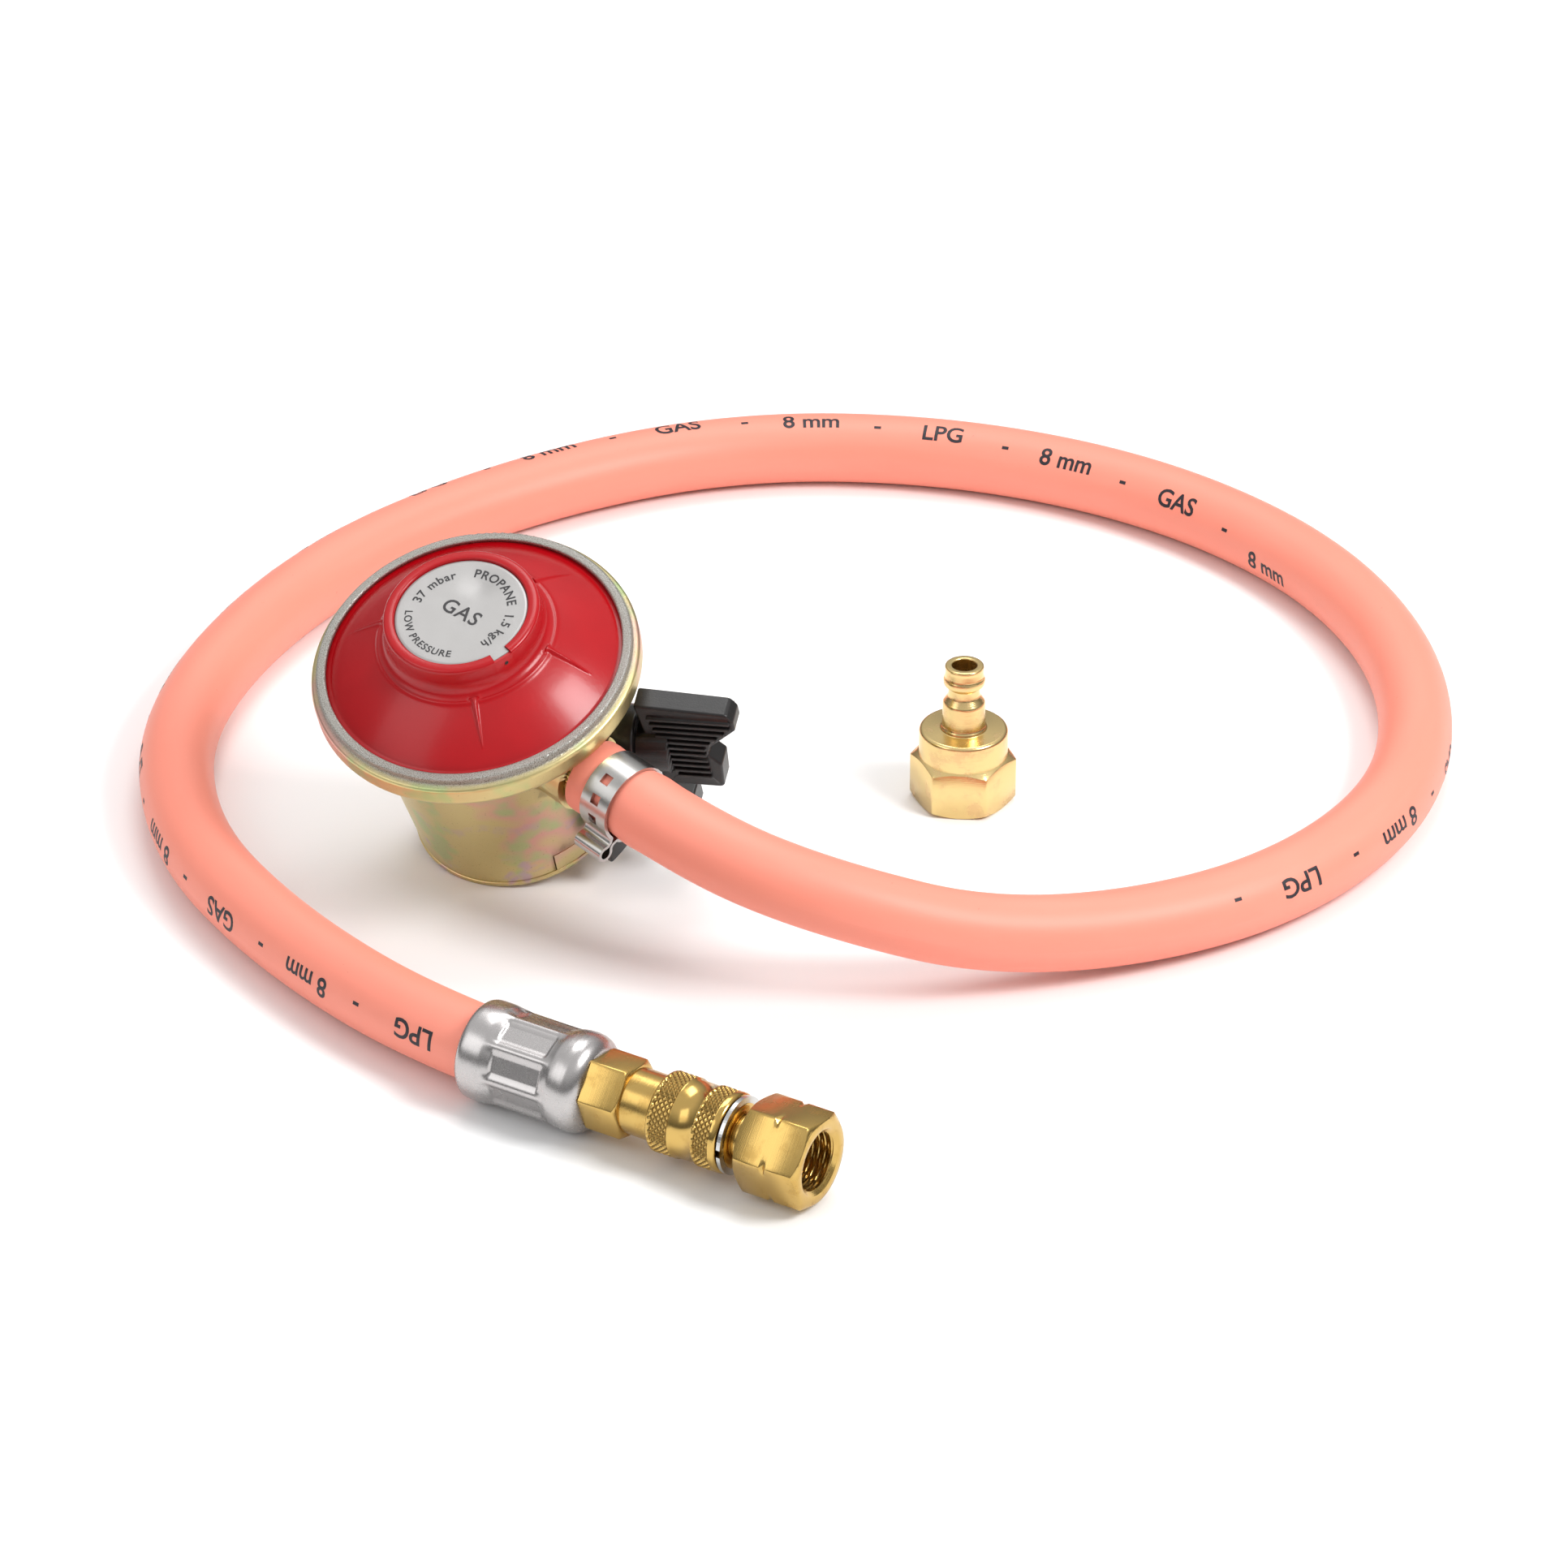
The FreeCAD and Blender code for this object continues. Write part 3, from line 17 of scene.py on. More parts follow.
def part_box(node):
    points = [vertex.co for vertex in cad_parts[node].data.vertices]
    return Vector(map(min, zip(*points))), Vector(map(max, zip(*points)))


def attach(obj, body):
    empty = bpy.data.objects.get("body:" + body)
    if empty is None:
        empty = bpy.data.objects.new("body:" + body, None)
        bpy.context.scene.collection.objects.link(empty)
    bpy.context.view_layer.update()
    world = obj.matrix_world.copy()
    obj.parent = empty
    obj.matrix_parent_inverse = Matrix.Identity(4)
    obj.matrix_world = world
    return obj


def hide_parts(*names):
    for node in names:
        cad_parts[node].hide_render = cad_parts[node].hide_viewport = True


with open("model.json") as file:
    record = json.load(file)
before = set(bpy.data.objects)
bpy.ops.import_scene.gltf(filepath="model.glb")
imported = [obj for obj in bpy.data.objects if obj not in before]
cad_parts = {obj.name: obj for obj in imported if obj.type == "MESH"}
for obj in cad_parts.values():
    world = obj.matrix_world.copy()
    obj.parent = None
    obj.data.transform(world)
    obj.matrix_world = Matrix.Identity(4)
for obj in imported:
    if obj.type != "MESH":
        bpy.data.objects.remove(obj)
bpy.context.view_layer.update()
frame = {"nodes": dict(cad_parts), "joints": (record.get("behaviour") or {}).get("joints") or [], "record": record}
MM = 0.001
print("pieces in the frame:", len(frame["nodes"]))

# %% [markdown]
# ## Local frames
#
# The regulator leans, and the coupler lies at an angle, so each gets a local frame of its own:
# an origin and three axes. Both are read from the record: the regulator's from the mount where
# it sits on a cylinder, and the coupler's from the joint that the plug turns on.

# %% Two local frames
def unit(vector):
    """A vector divided by its own length."""
    return np.asarray(vector, float) / np.linalg.norm(vector)


class Place:
    """An origin in metres and three unit axes, with local sizes in millimetres."""

    def __init__(self, origin, x, z):
        self.origin = np.asarray(origin, float)
        z = unit(z)
        x = unit(np.asarray(x, float) - z * np.dot(x, z))
        self.axes = np.array([x, np.cross(z, x), z])

    def out(self, local_mm):
        """Local millimetres to frame metres: origin plus the coordinates times the axes."""
        return self.origin + np.asarray(local_mm, float) * MM @ self.axes


JOINTS = {joint["name"]: joint for joint in frame["joints"]}
MOUNTS = {mount["name"]: mount for mount in frame["record"]["mounts"]}

SWITCH_AZ_DEG = -13.5
SOCKET_MIDDLE_Z = 10.85
PLUG_PIVOT_AT = 53.6

socket = MOUNTS["cylinder_socket"]
up_axis = -unit(socket["axis"])
switch_axis = unit(JOINTS["switch_turn"]["axis"])
quarter = np.cross(up_axis, switch_axis)
turn = math.radians(-SWITCH_AZ_DEG)
REG = Place(
    np.array(socket["pos_m"]) - up_axis * SOCKET_MIDDLE_Z * MM,
    switch_axis * math.cos(turn) + quarter * math.sin(turn),
    up_axis,
)
swivel = JOINTS["plug_swivel"]
along = unit(swivel["axis"])
COUPLER = Place(
    np.array(swivel["pos_m"]) - along * PLUG_PIVOT_AT * MM,
    np.cross(along, (0, 0, 1)),
    along,
)
adapter_low, adapter_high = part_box("spare_adapter")
ADAPTER = Place(
    ((adapter_low.x + adapter_high.x) / 2, (adapter_low.y + adapter_high.y) / 2, 0),
    (1, 0, 0),
    (0, 0, 1),
)
print("regulator leans", round(math.degrees(math.acos(up_axis[2])), 1), "degrees")

# %% [markdown]
# ## Camera, floor and light
#
# A long lens far away keeps round things round. The floor is a plain pale plane, and the light
# is a studio's: one large soft box at the right, a weaker one at the left, and a bright sky that
# is darker near the horizon, so that the metals have something to mirror.

# %% Camera
CAMERA_AT = Vector((0.0230, -1.1909, 0.7200))
CAMERA_AIM = Vector((0.0230, 0.0314, 0.0))

camera_data = bpy.data.cameras.new("camera")
camera_data.lens = 158.4
camera_data.sensor_width = 36.0
camera_data.clip_start = 0.05
camera = bpy.data.objects.new("camera", camera_data)
camera.location = CAMERA_AT
camera.rotation_euler = (CAMERA_AIM - CAMERA_AT).to_track_quat("-Z", "Y").to_euler()
bpy.context.scene.collection.objects.link(camera)
bpy.context.scene.camera = camera

# %% Floor and soft boxes
FLOOR_HALF = 4.0


def soft_box(name, where, aim, size, power, colour=(1, 1, 1)):
    """A square area light at one point that faces another."""
    data = bpy.data.lights.new(name, "AREA")
    data.shape = "SQUARE"
    data.size = size
    data.energy = power
    data.color = colour
    lamp = bpy.data.objects.new(name, data)
    lamp.location = where
    lamp.rotation_euler = (Vector(aim) - Vector(where)).to_track_quat("-Z", "Y").to_euler()
    bpy.context.scene.collection.objects.link(lamp)


soft_box("key_box", (0.75, -0.35, 0.85), (0.0, 0.0, 0.0), 0.42, 9.0)
soft_box("fill_box", (-0.9, -0.5, 0.7), (0.0, 0.05, 0.0), 0.7, 2.0)
soft_box("top_box", (0.05, 0.45, 1.1), (0.0, 0.05, 0.0), 0.6, 4.6)

world = bpy.data.worlds.new("studio")
bpy.context.scene.world = world
world.use_nodes = True
sky = world.node_tree
sky_ramp = sky.nodes.new("ShaderNodeValToRGB")
sky_split = sky.nodes.new("ShaderNodeSeparateXYZ")
sky_place = sky.nodes.new("ShaderNodeTexCoord")
sky.links.new(sky_place.outputs["Generated"], sky_split.inputs[0])
sky.links.new(sky_split.outputs["Z"], sky_ramp.inputs[0])
sky.links.new(sky_ramp.outputs[0], sky.nodes["Background"].inputs["Color"])
sky_ramp.color_ramp.elements[0].position = 0.0
sky_ramp.color_ramp.elements[0].color = (0.10, 0.10, 0.10, 1)
sky_ramp.color_ramp.elements[1].position = 0.70
sky_ramp.color_ramp.elements[1].color = (1.0, 1.0, 1.0, 1)
low_sky = sky_ramp.color_ramp.elements.new(0.30)
low_sky.color = (0.42, 0.42, 0.42, 1)
sky.nodes["Background"].inputs["Strength"].default_value = 0.80
bpy.context.scene.view_settings.view_transform = "Standard"

# %% [markdown]
# ## Meshes from arrays
#
# Almost every new piece is a grid of points: rows run along the piece and columns run round it.
# The points are one numpy array, so a shape is a formula and not a loop over vertices. When the
# rows close on themselves too, the piece is a ring with a wall, open to nothing.

# %% Grids to meshes
def grid_faces(rows, columns, wrap_rows, wrap_columns):
    """Four corners of every cell: (row, column) and its neighbours, wrapped where asked."""
    last_row = rows if wrap_rows else rows - 1
    last_column = columns if wrap_columns else columns - 1
    row, column = np.meshgrid(np.arange(last_row), np.arange(last_column), indexing="ij")
    next_row = (row + 1) % rows
    next_column = (column + 1) % columns
    corners = [row * columns + column, row * columns + next_column,
               next_row * columns + next_column, next_row * columns + column]
    return np.stack(corners, axis=-1).reshape(-1, 4)


def finish_mesh(mesh, sharp_deg):
    """Shade smooth, with edges sharper than an angle left crisp."""
    mesh.polygons.foreach_set("use_smooth", np.ones(len(mesh.polygons), bool))
    mesh.set_sharp_from_angle(angle=math.radians(sharp_deg))
    mesh.update()


def new_piece(name, points, faces, finish, body, sharp_deg=35, outwards=True):
    """Put arrays of points and faces into a mesh that rides on a body."""
    mesh = bpy.data.meshes.new(name)
    mesh.from_pydata(points.reshape(-1, 3).tolist(), [], faces.tolist())
    if outwards:
        work = bmesh.new()
        work.from_mesh(mesh)
        bmesh.ops.recalc_face_normals(work, faces=work.faces)
        work.to_mesh(mesh)
        work.free()
    finish_mesh(mesh, sharp_deg)
    mesh.materials.append(finish)
    piece = bpy.data.objects.new(name, mesh)
    bpy.context.scene.collection.objects.link(piece)
    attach(piece, body)
    return piece


def ring_piece(name, points, finish, body, sharp_deg=35):
    """A grid that closes both ways: a turned or swept wall with no open edge."""
    rows, columns = points.shape[:2]
    return new_piece(name, points, grid_faces(rows, columns, True, True), finish, body, sharp_deg)


# %% [markdown]
# ## Shader maths as expressions
#
# A material is easier to read as a formula. `Term` wraps a socket, and its operators add Math
# nodes. `Finish` holds one material: `node` makes any other node, and `set` joins a term to a
# socket of the surface shader.

# %% A small shader language
class Term:
    """A socket in a shader expression: + - * / and the methods below add Math nodes."""

    def __init__(self, finish, socket):
        self.finish = finish
        self.socket = socket

    def maths(self, operation, *others):
        return self.finish.node("ShaderNodeMath", {"operation": operation}, [self, *others])

    def __add__(self, other):
        return self.maths("ADD", other)

    def __sub__(self, other):
        return self.maths("SUBTRACT", other)

    def __mul__(self, other):
        return self.maths("MULTIPLY", other)

    def __truediv__(self, other):
        return self.maths("DIVIDE", other)

    def __rsub__(self, other):
        return self.maths("MULTIPLY", -1.0) + other

    __radd__ = __add__
    __rmul__ = __mul__

    def between(self, low, high):
        """0 below low, 1 above high, smooth between them."""
        return self.finish.node(
            "ShaderNodeMapRange", {"interpolation_type": "SMOOTHSTEP"},
            {"Value": self, "From Min": low, "From Max": high}
        )


class Finish:
    """One material, built round a Principled surface shader."""

    def __init__(self, name, constants):
        self.material = bpy.data.materials.new(name)
        self.material.use_nodes = True
        self.tree = self.material.node_tree
        self.surface = self.tree.nodes["Principled BSDF"]
        for socket_name, value in constants.items():
            self.surface.inputs[socket_name].default_value = value

    def feed(self, target, value):
        """Link a term to a socket, or set a plain value on it."""
        if isinstance(value, Term):
            self.tree.links.new(value.socket, target)
        else:
            target.default_value = value

    def node(self, kind, settings, inputs, output=0):
        """Add a node: its settings first, then its sockets by name or in order."""
        made = self.tree.nodes.new(kind)
        for key, value in settings.items():
            setattr(made, key, value)
        pairs = inputs.items() if isinstance(inputs, dict) else enumerate(inputs)
        for key, value in pairs:
            self.feed(made.inputs[key], value)
        return Term(self, made.outputs[output])

    def set(self, socket_name, value):
        self.feed(self.surface.inputs[socket_name], value)

    def object_place(self):
        """Coordinates in the object's own space, in metres."""
        return self.node("ShaderNodeTexCoord", {}, {}, "Object")

    def local(self, place):
        """Coordinates in millimetres in a local frame: the inverse of Place.out."""
        turned = Matrix(place.axes.tolist())
        shift = place.axes @ place.origin / -MM
        return self.node(
            "ShaderNodeMapping", {"vector_type": "POINT"},
            {"Vector": self.object_place(), "Location": shift.tolist(),
             "Rotation": list(turned.to_euler()), "Scale": (1 / MM, 1 / MM, 1 / MM)},
        )

    def split(self, vector):
        """The three parts of a vector as terms."""
        first = self.node("ShaderNodeSeparateXYZ", {}, [vector])
        outputs = first.socket.node.outputs
        return first, Term(self, outputs[1]), Term(self, outputs[2])

    def noise(self, vector, scale, detail=3.0, roughness=0.55):
        return self.node(
            "ShaderNodeTexNoise", {},
            {"Vector": vector, "Scale": scale, "Detail": detail, "Roughness": roughness}
        )

    def mix(self, factor, first, second):
        """A colour between two: first where the factor is 0, second where it is 1."""
        made = self.tree.nodes.new("ShaderNodeMix")
        made.data_type = "RGBA"
        self.feed(made.inputs[0], factor)
        for index, value in ((6, first), (7, second)):
            self.feed(made.inputs[index], value if isinstance(value, Term) else colour(value))
        return Term(self, made.outputs[2])

    def bump(self, height, distance, strength=1.0):
        """Raise the surface by a height from 0 to 1, times a distance in metres."""
        made = self.node("ShaderNodeBump", {}, {"Height": height, "Distance": distance, "Strength": strength})
        self.set("Normal", made)


def colour(rgb):
    """Red, green and blue with full alpha."""
    return (*rgb[:3], 1.0)


# %% [markdown]
# ## Finishes
#
# Each finish is what the maker would call it: passivated zinc, stove enamel, turned brass,
# pressed steel, moulded nylon, hose rubber. Real surfaces are never even, so each one has stains,
# fine scratches or grain, at the size that they have on the real piece.

# %% Passivated zinc with its worn, bare rim
RIM_INNER_MM = 29.3
RIM_LOW_MM = 46.4


def passivated_zinc():
    """Yellow film that drifts to green and pink; bare and pitted on the rolled rim."""
    finish = Finish("passivated_zinc", {"Metallic": 1.0})
    where = finish.local(REG)
    x, y, z = finish.split(where)
    radius = (x * x + y * y).maths("SQRT")
    drift = finish.noise(where, 0.055, 2.0)
    green = finish.noise(where, 0.11, 2.0).between(0.52, 0.68)
    pink = drift.between(0.50, 0.64)
    mauve = finish.noise(where, 0.17, 2.0).between(0.56, 0.70) * (1 - z.between(6.0, 30.0))
    film = finish.mix(pink * 0.9, (0.62, 0.52, 0.25), (0.70, 0.37, 0.33))
    film = finish.mix(green * 0.75, film, (0.40, 0.56, 0.24))
    film = finish.mix(mauve * 0.7, film, (0.52, 0.36, 0.50))
    flecks = finish.noise(where, 2.2, 3.0).between(0.66, 0.72)
    film = finish.mix(flecks * 0.5, film, (0.20, 0.15, 0.08))
    # Dark blotches only on the lower part, fading out from 4 to 26 mm up: darker towards the bottom.
    low_blotches = finish.noise(where, 1.3, 4.0).between(0.62, 0.80) * (1 - z.between(4.0, 26.0))
    film = finish.mix(low_blotches * 0.6, film, (0.28, 0.20, 0.10))
    rim = z.between(RIM_LOW_MM, RIM_LOW_MM + 0.7) * radius.between(RIM_INNER_MM - 0.6, RIM_INNER_MM)
    pits = finish.noise(where, 5.0, 4.0, 0.7).between(0.46, 0.62)
    bare = finish.mix(pits * 0.85, (0.47, 0.46, 0.43), (0.13, 0.11, 0.075))
    finish.set("Base Color", finish.mix(rim, film, bare))
    grain = finish.noise(where, 5.0, 4.0)
    finish.set("Roughness", grain * 0.16 + 0.26 + rim * 0.10)
    finish.bump(grain + pits * rim * 1.5, 0.00006, 0.5)
    return finish.material


# %% Red enamel, label metal
def red_enamel():
    """Deep glossy red with a little orange peel and a few dust specks."""
    finish = Finish("red_enamel", {"Roughness": 0.27, "Specular IOR Level": 0.36, "Coat Weight": 0.12,
                                    "Coat Roughness": 0.12})
    where = finish.local(REG)
    shade = finish.noise(where, 0.09, 2.0)
    specks = finish.noise(where, 2.6, 2.0).between(0.76, 0.80)
    red = finish.mix(shade, (0.36, 0.0008, 0.004), (0.46, 0.0015, 0.006))
    finish.set("Base Color", finish.mix(specks * 0.6, red, (0.20, 0.01, 0.01)))
    finish.bump(finish.noise(where, 1.1, 3.0), 0.00005, 0.35)
    return finish.material


def label_metal():
    """Satin aluminium with a fine grain and a few shallow dents."""
    finish = Finish("label_metal", {"Metallic": 0.55})
    where = finish.local(REG)
    grain = finish.noise(where, 9.0, 2.0)
    finish.set("Base Color", finish.mix(grain, (0.36, 0.35, 0.345), (0.44, 0.43, 0.42)))
    finish.set("Roughness", grain * 0.12 + 0.34)
    finish.bump(finish.noise(where, 0.16, 1.0) + grain * 0.1, 0.0003, 0.3)
    return finish.material


# %% Brass, three ways
def brass(name, light, dark, place, stains=0.5):
    """Machined brass: fine turning lines round the local axis, and warmer stains."""
    finish = Finish(name, {"Metallic": 1.0})
    where = finish.local(place)
    _, _, z = finish.split(where)
    lines = finish.node(
        "ShaderNodeTexNoise", {"noise_dimensions": "1D"}, {"W": z, "Scale": 6.0, "Detail": 3.0}
    )
    stain = finish.noise(where, 0.28, 4.0).between(0.46, 0.72)
    finish.set("Base Color", finish.mix(stain * stains, light, dark))
    finish.set("Roughness", lines * 0.14 + stain * 0.10 + 0.14)
    finish.bump(lines + finish.noise(where, 4.0, 3.0) * 0.4, 0.00003, 0.5)
    return finish.material


# %% Steels, nylon and rubbers
def steel(name, tone, low_rough, place, stretch=1.0):
    """Bright or satin steel with a fine grain and faint smears."""
    finish = Finish(name, {"Metallic": 1.0})
    where = finish.local(place)
    grain = finish.noise(where, 3.0 * stretch, 4.0)
    smear = finish.noise(where, 0.35, 3.0)
    dark = tuple(0.72 * part for part in tone)
    finish.set("Base Color", finish.mix(smear.between(0.45, 0.75) * 0.25, tone, dark))
    finish.set("Roughness", grain * 0.05 + smear * 0.05 + low_rough + 0.04)
    finish.bump(grain, 0.00002, 0.2)
    return finish.material


def nylon():
    """Black moulded nylon: nearly matt, with a fine moulded texture."""
    finish = Finish("nylon", {"Specular IOR Level": 0.45})
    where = finish.local(REG)
    grain = finish.noise(where, 3.2, 3.0)
    scuff = finish.noise(where, 0.5, 4.0).between(0.58, 0.78)
    finish.set("Base Color", finish.mix(scuff * 0.5, (0.010, 0.009, 0.009), (0.032, 0.029, 0.028)))
    finish.set("Roughness", grain * 0.14 + 0.26 + scuff * 0.08)
    finish.bump(grain, 0.00006, 0.45)
    return finish.material


def hose_rubber():
    """Smooth salmon rubber with drawn-out clouds and a few dark specks."""
    finish = Finish("hose_rubber", {"Specular IOR Level": 0.42})
    along_skin = finish.node("ShaderNodeUVMap", {"uv_map": "skin"}, {})
    stretched = finish.node("ShaderNodeMapping", {}, {"Vector": along_skin, "Scale": (0.18, 1.0, 1.0)})
    cloud = finish.noise(stretched, 0.13, 3.0)
    speck = finish.noise(along_skin, 0.9, 3.0).between(0.71, 0.76)
    tone = finish.mix(cloud, (0.90, 0.265, 0.185), (0.95, 0.315, 0.230))
    finish.set("Base Color", finish.mix(speck * 0.35, tone, (0.30, 0.09, 0.07)))
    finish.set("Roughness", cloud * 0.12 + 0.40)
    finish.bump(finish.noise(along_skin, 1.6, 3.0), 0.00006, 0.35)
    return finish.material


def black_rubber():
    """Nitrile rubber: dark, dull, slightly uneven."""
    finish = Finish("black_rubber", {"Roughness": 0.62})
    grain = finish.noise(finish.local(REG), 2.4, 3.0)
    finish.set("Base Color", finish.mix(grain, (0.012, 0.012, 0.012), (0.034, 0.033, 0.032)))
    finish.bump(grain, 0.00005, 0.5)
    return finish.material


def ink(name, rgb):
    """Printing ink that lies thin, so its edge breaks up a little."""
    finish = Finish(name, {"Roughness": 0.5})
    worn = finish.noise(finish.object_place(), 900.0, 3.0).between(0.60, 0.85)
    finish.set("Base Color", finish.mix(worn * 0.4, rgb, tuple(part + 0.12 for part in rgb)))
    return finish.material


def pale_floor():
    """A plain, nearly white, matt floor."""
    finish = Finish("pale_floor", {"Base Color": (0.95, 0.95, 0.95, 1.0), "Roughness": 0.9})
    return finish.material


FINISHES = {
    "zinc": passivated_zinc(),
    "enamel": red_enamel(),
    "label": label_metal(),
    "coupler_brass": brass("coupler_brass", (0.60, 0.40, 0.125), (0.44, 0.26, 0.065), COUPLER),
    "regulator_brass": brass("regulator_brass", (0.60, 0.42, 0.15), (0.44, 0.26, 0.07), REG),
    "pale_brass": brass("pale_brass", (0.80, 0.60, 0.27), (0.74, 0.47, 0.24), ADAPTER, 0.6),
    "regulator_steel": steel("regulator_steel", (0.48, 0.47, 0.455), 0.16, REG),
    "coupler_steel": steel("coupler_steel", (0.60, 0.60, 0.59), 0.14, COUPLER),
    "crimp_steel": steel("crimp_steel", (0.50, 0.48, 0.475), 0.18, COUPLER),
    "nylon": nylon(),
    "hose": hose_rubber(),
    "rubber": black_rubber(),
    "hose_ink": ink("hose_ink", (0.012, 0.010, 0.016)),
    "label_ink": ink("label_ink", (0.030, 0.028, 0.030)),
}

floor_mesh = bpy.data.meshes.new("floor")
floor_corners = np.array([(-1, -1, 0), (1, -1, 0), (1, 1, 0), (-1, 1, 0)], float) * FLOOR_HALF
floor_mesh.from_pydata(floor_corners.tolist(), [], [(0, 1, 2, 3)])
floor_mesh.materials.append(pale_floor())
floor = bpy.data.objects.new("floor", floor_mesh)
bpy.context.scene.collection.objects.link(floor)
print("finishes:", len(FINISHES))

# %% [markdown]
# ## The hose
#
# The hose leaves the nozzle straight, comes down to the floor, runs round the loop and goes into
# the crimped ferrule. Its line is one smooth NURBS curve through given control points. The
# wall is then carried along that line, because a mesh can be squeezed a little under the clamp
# and carry a map for its print.

# %% The hose's line
ROUTE = [
    (-0.0144, -0.0232, 0.0341), (0.0040, -0.0412, 0.0302), (0.0294, -0.0504, 0.0229),
    (0.0680, -0.0471, 0.0100), (0.1161, -0.0287, 0.0076), (0.1489, 0.0094, 0.0076),
    (0.1560, 0.0594, 0.0076), (0.1410, 0.1074, 0.0076), (0.1070, 0.1439, 0.0076),
    (0.0615, 0.1644, 0.0076), (0.0110, 0.1666, 0.0076), (-0.0375, 0.1444, 0.0076),
    (-0.0790, 0.1059, 0.0076), (-0.1030, 0.0489, 0.0076), (-0.0990, -0.0006, 0.0076),
    (-0.0760, -0.0411, 0.0076), (-0.0424, -0.0796, 0.0096), (-0.0142, -0.0968, 0.0099),
]


def smooth_line(points):
    """Points along a NURBS spline of order 3 that has the given control points."""
    curve = bpy.data.curves.new("hose_line", "CURVE")
    curve.dimensions = "3D"
    spline = curve.splines.new("NURBS")
    spline.points.add(len(points) - 1)
    spline.points.foreach_set("co", np.column_stack([points, np.ones(len(points))]).ravel())
    spline.order_u = 3
    spline.use_endpoint_u = True
    spline.resolution_u = 40
    holder = bpy.data.objects.new("hose_line", curve)
    bpy.context.scene.collection.objects.link(holder)
    evaluated = holder.evaluated_get(bpy.context.evaluated_depsgraph_get())
    line = bpy.data.meshes.new_from_object(evaluated)
    found = np.zeros(len(line.vertices) * 3)
    line.vertices.foreach_get("co", found)
    bpy.data.objects.remove(holder)
    return found.reshape(-1, 3)


def even_line(points, step):
    """The same line at even steps, with its length so far at each point."""
    gaps = np.linalg.norm(np.diff(points, axis=0), axis=1)
    travelled = np.concatenate([[0], np.cumsum(gaps)])
    stations = np.linspace(0, travelled[-1], int(travelled[-1] / step) + 1)
    return np.column_stack([np.interp(stations, travelled, points[:, i]) for i in range(3)]), stations


HOSE_LINE, HOSE_STATIONS = even_line(smooth_line(ROUTE), 0.0015)
HOSE_LENGTH = HOSE_STATIONS[-1]
print("hose length %.3f m" % HOSE_LENGTH)

# %% The hose's wall
HOSE_R = 0.0076
HOSE_BORE_R = 0.0040
HOSE_SIDES = 56
CLAMP_FROM_START = (0.0047, 0.0117)


def line_frames(line):
    """At each point: the direction ahead, the level direction sideways, and up across both."""
    ahead = np.gradient(line, axis=0)
    ahead /= np.linalg.norm(ahead, axis=1)[:, None]
    side = np.cross(ahead, (0, 0, 1))
    side /= np.linalg.norm(side, axis=1)[:, None]
    return ahead, side, np.cross(side, ahead)


def hose_radius(station):
    """The plain radius, less a squeeze under the clamp, plus a slight swell on each side of it."""
    middle = sum(CLAMP_FROM_START) / 2
    off = (station - middle) / 0.0045
    squeeze = 0.00025 * np.exp(-off ** 4)
    swell = 0.00015 * np.exp(-((np.abs(station - middle) - 0.0068) / 0.0022) ** 2)
    return HOSE_R - squeeze + swell


def hose_tube():
    """Circles of the hose's radius round its line, then the bore's circles on the way back."""
    _, side, up = line_frames(HOSE_LINE)
    angle = np.arange(HOSE_SIDES) * 2 * math.pi / HOSE_SIDES
    around = side[:, None] * np.cos(angle)[:, None] + up[:, None] * np.sin(angle)[:, None]
    outer = HOSE_LINE[:, None] + around * hose_radius(HOSE_STATIONS)[:, None, None]
    inner = (HOSE_LINE[:, None] + around * HOSE_BORE_R)[::-1]
    points = np.concatenate([outer, inner])
    piece = ring_piece("hose_tube", points, FINISHES["hose"], "root", 60)
    paint_skin_map(piece.data, len(points), HOSE_SIDES)
    return piece


def paint_skin_map(mesh, rows, sides):
    """A map in millimetres: along the hose, and round it without a jump at the seam."""
    layer = mesh.uv_layers.new(name="skin")
    corner = np.zeros(len(mesh.loops), np.int64)
    mesh.loops.foreach_get("vertex_index", corner)
    row, column = corner // sides, corner % sides
    face_columns = column.reshape(-1, 4)
    wraps = (face_columns.max(axis=1) - face_columns.min(axis=1)) > sides / 2
    column = np.where(np.repeat(wraps, 4) & (column < sides / 2), column + sides, column)
    stations = np.concatenate([HOSE_STATIONS, HOSE_STATIONS[::-1]]) / MM
    spread = np.column_stack([stations[row], column * 2 * math.pi * HOSE_R / MM / sides])
    layer.data.foreach_set("uv", spread.ravel())


hose = hose_tube()
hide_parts("hose")
print("hose faces:", len(hose.data.polygons))

# %% [markdown]
# ## Print on the hose
#
# The hose carries a plain printed line: its bore, the word for the gas, and dashes. Each word is
# a flat text first. It is cut into narrow bands, so that it can bend, and then every point is
# laid on the hose: its x becomes a distance along the line, and its y an angle round it.

# %% Words as flat meshes
PRINT_LIFT = 0.00003


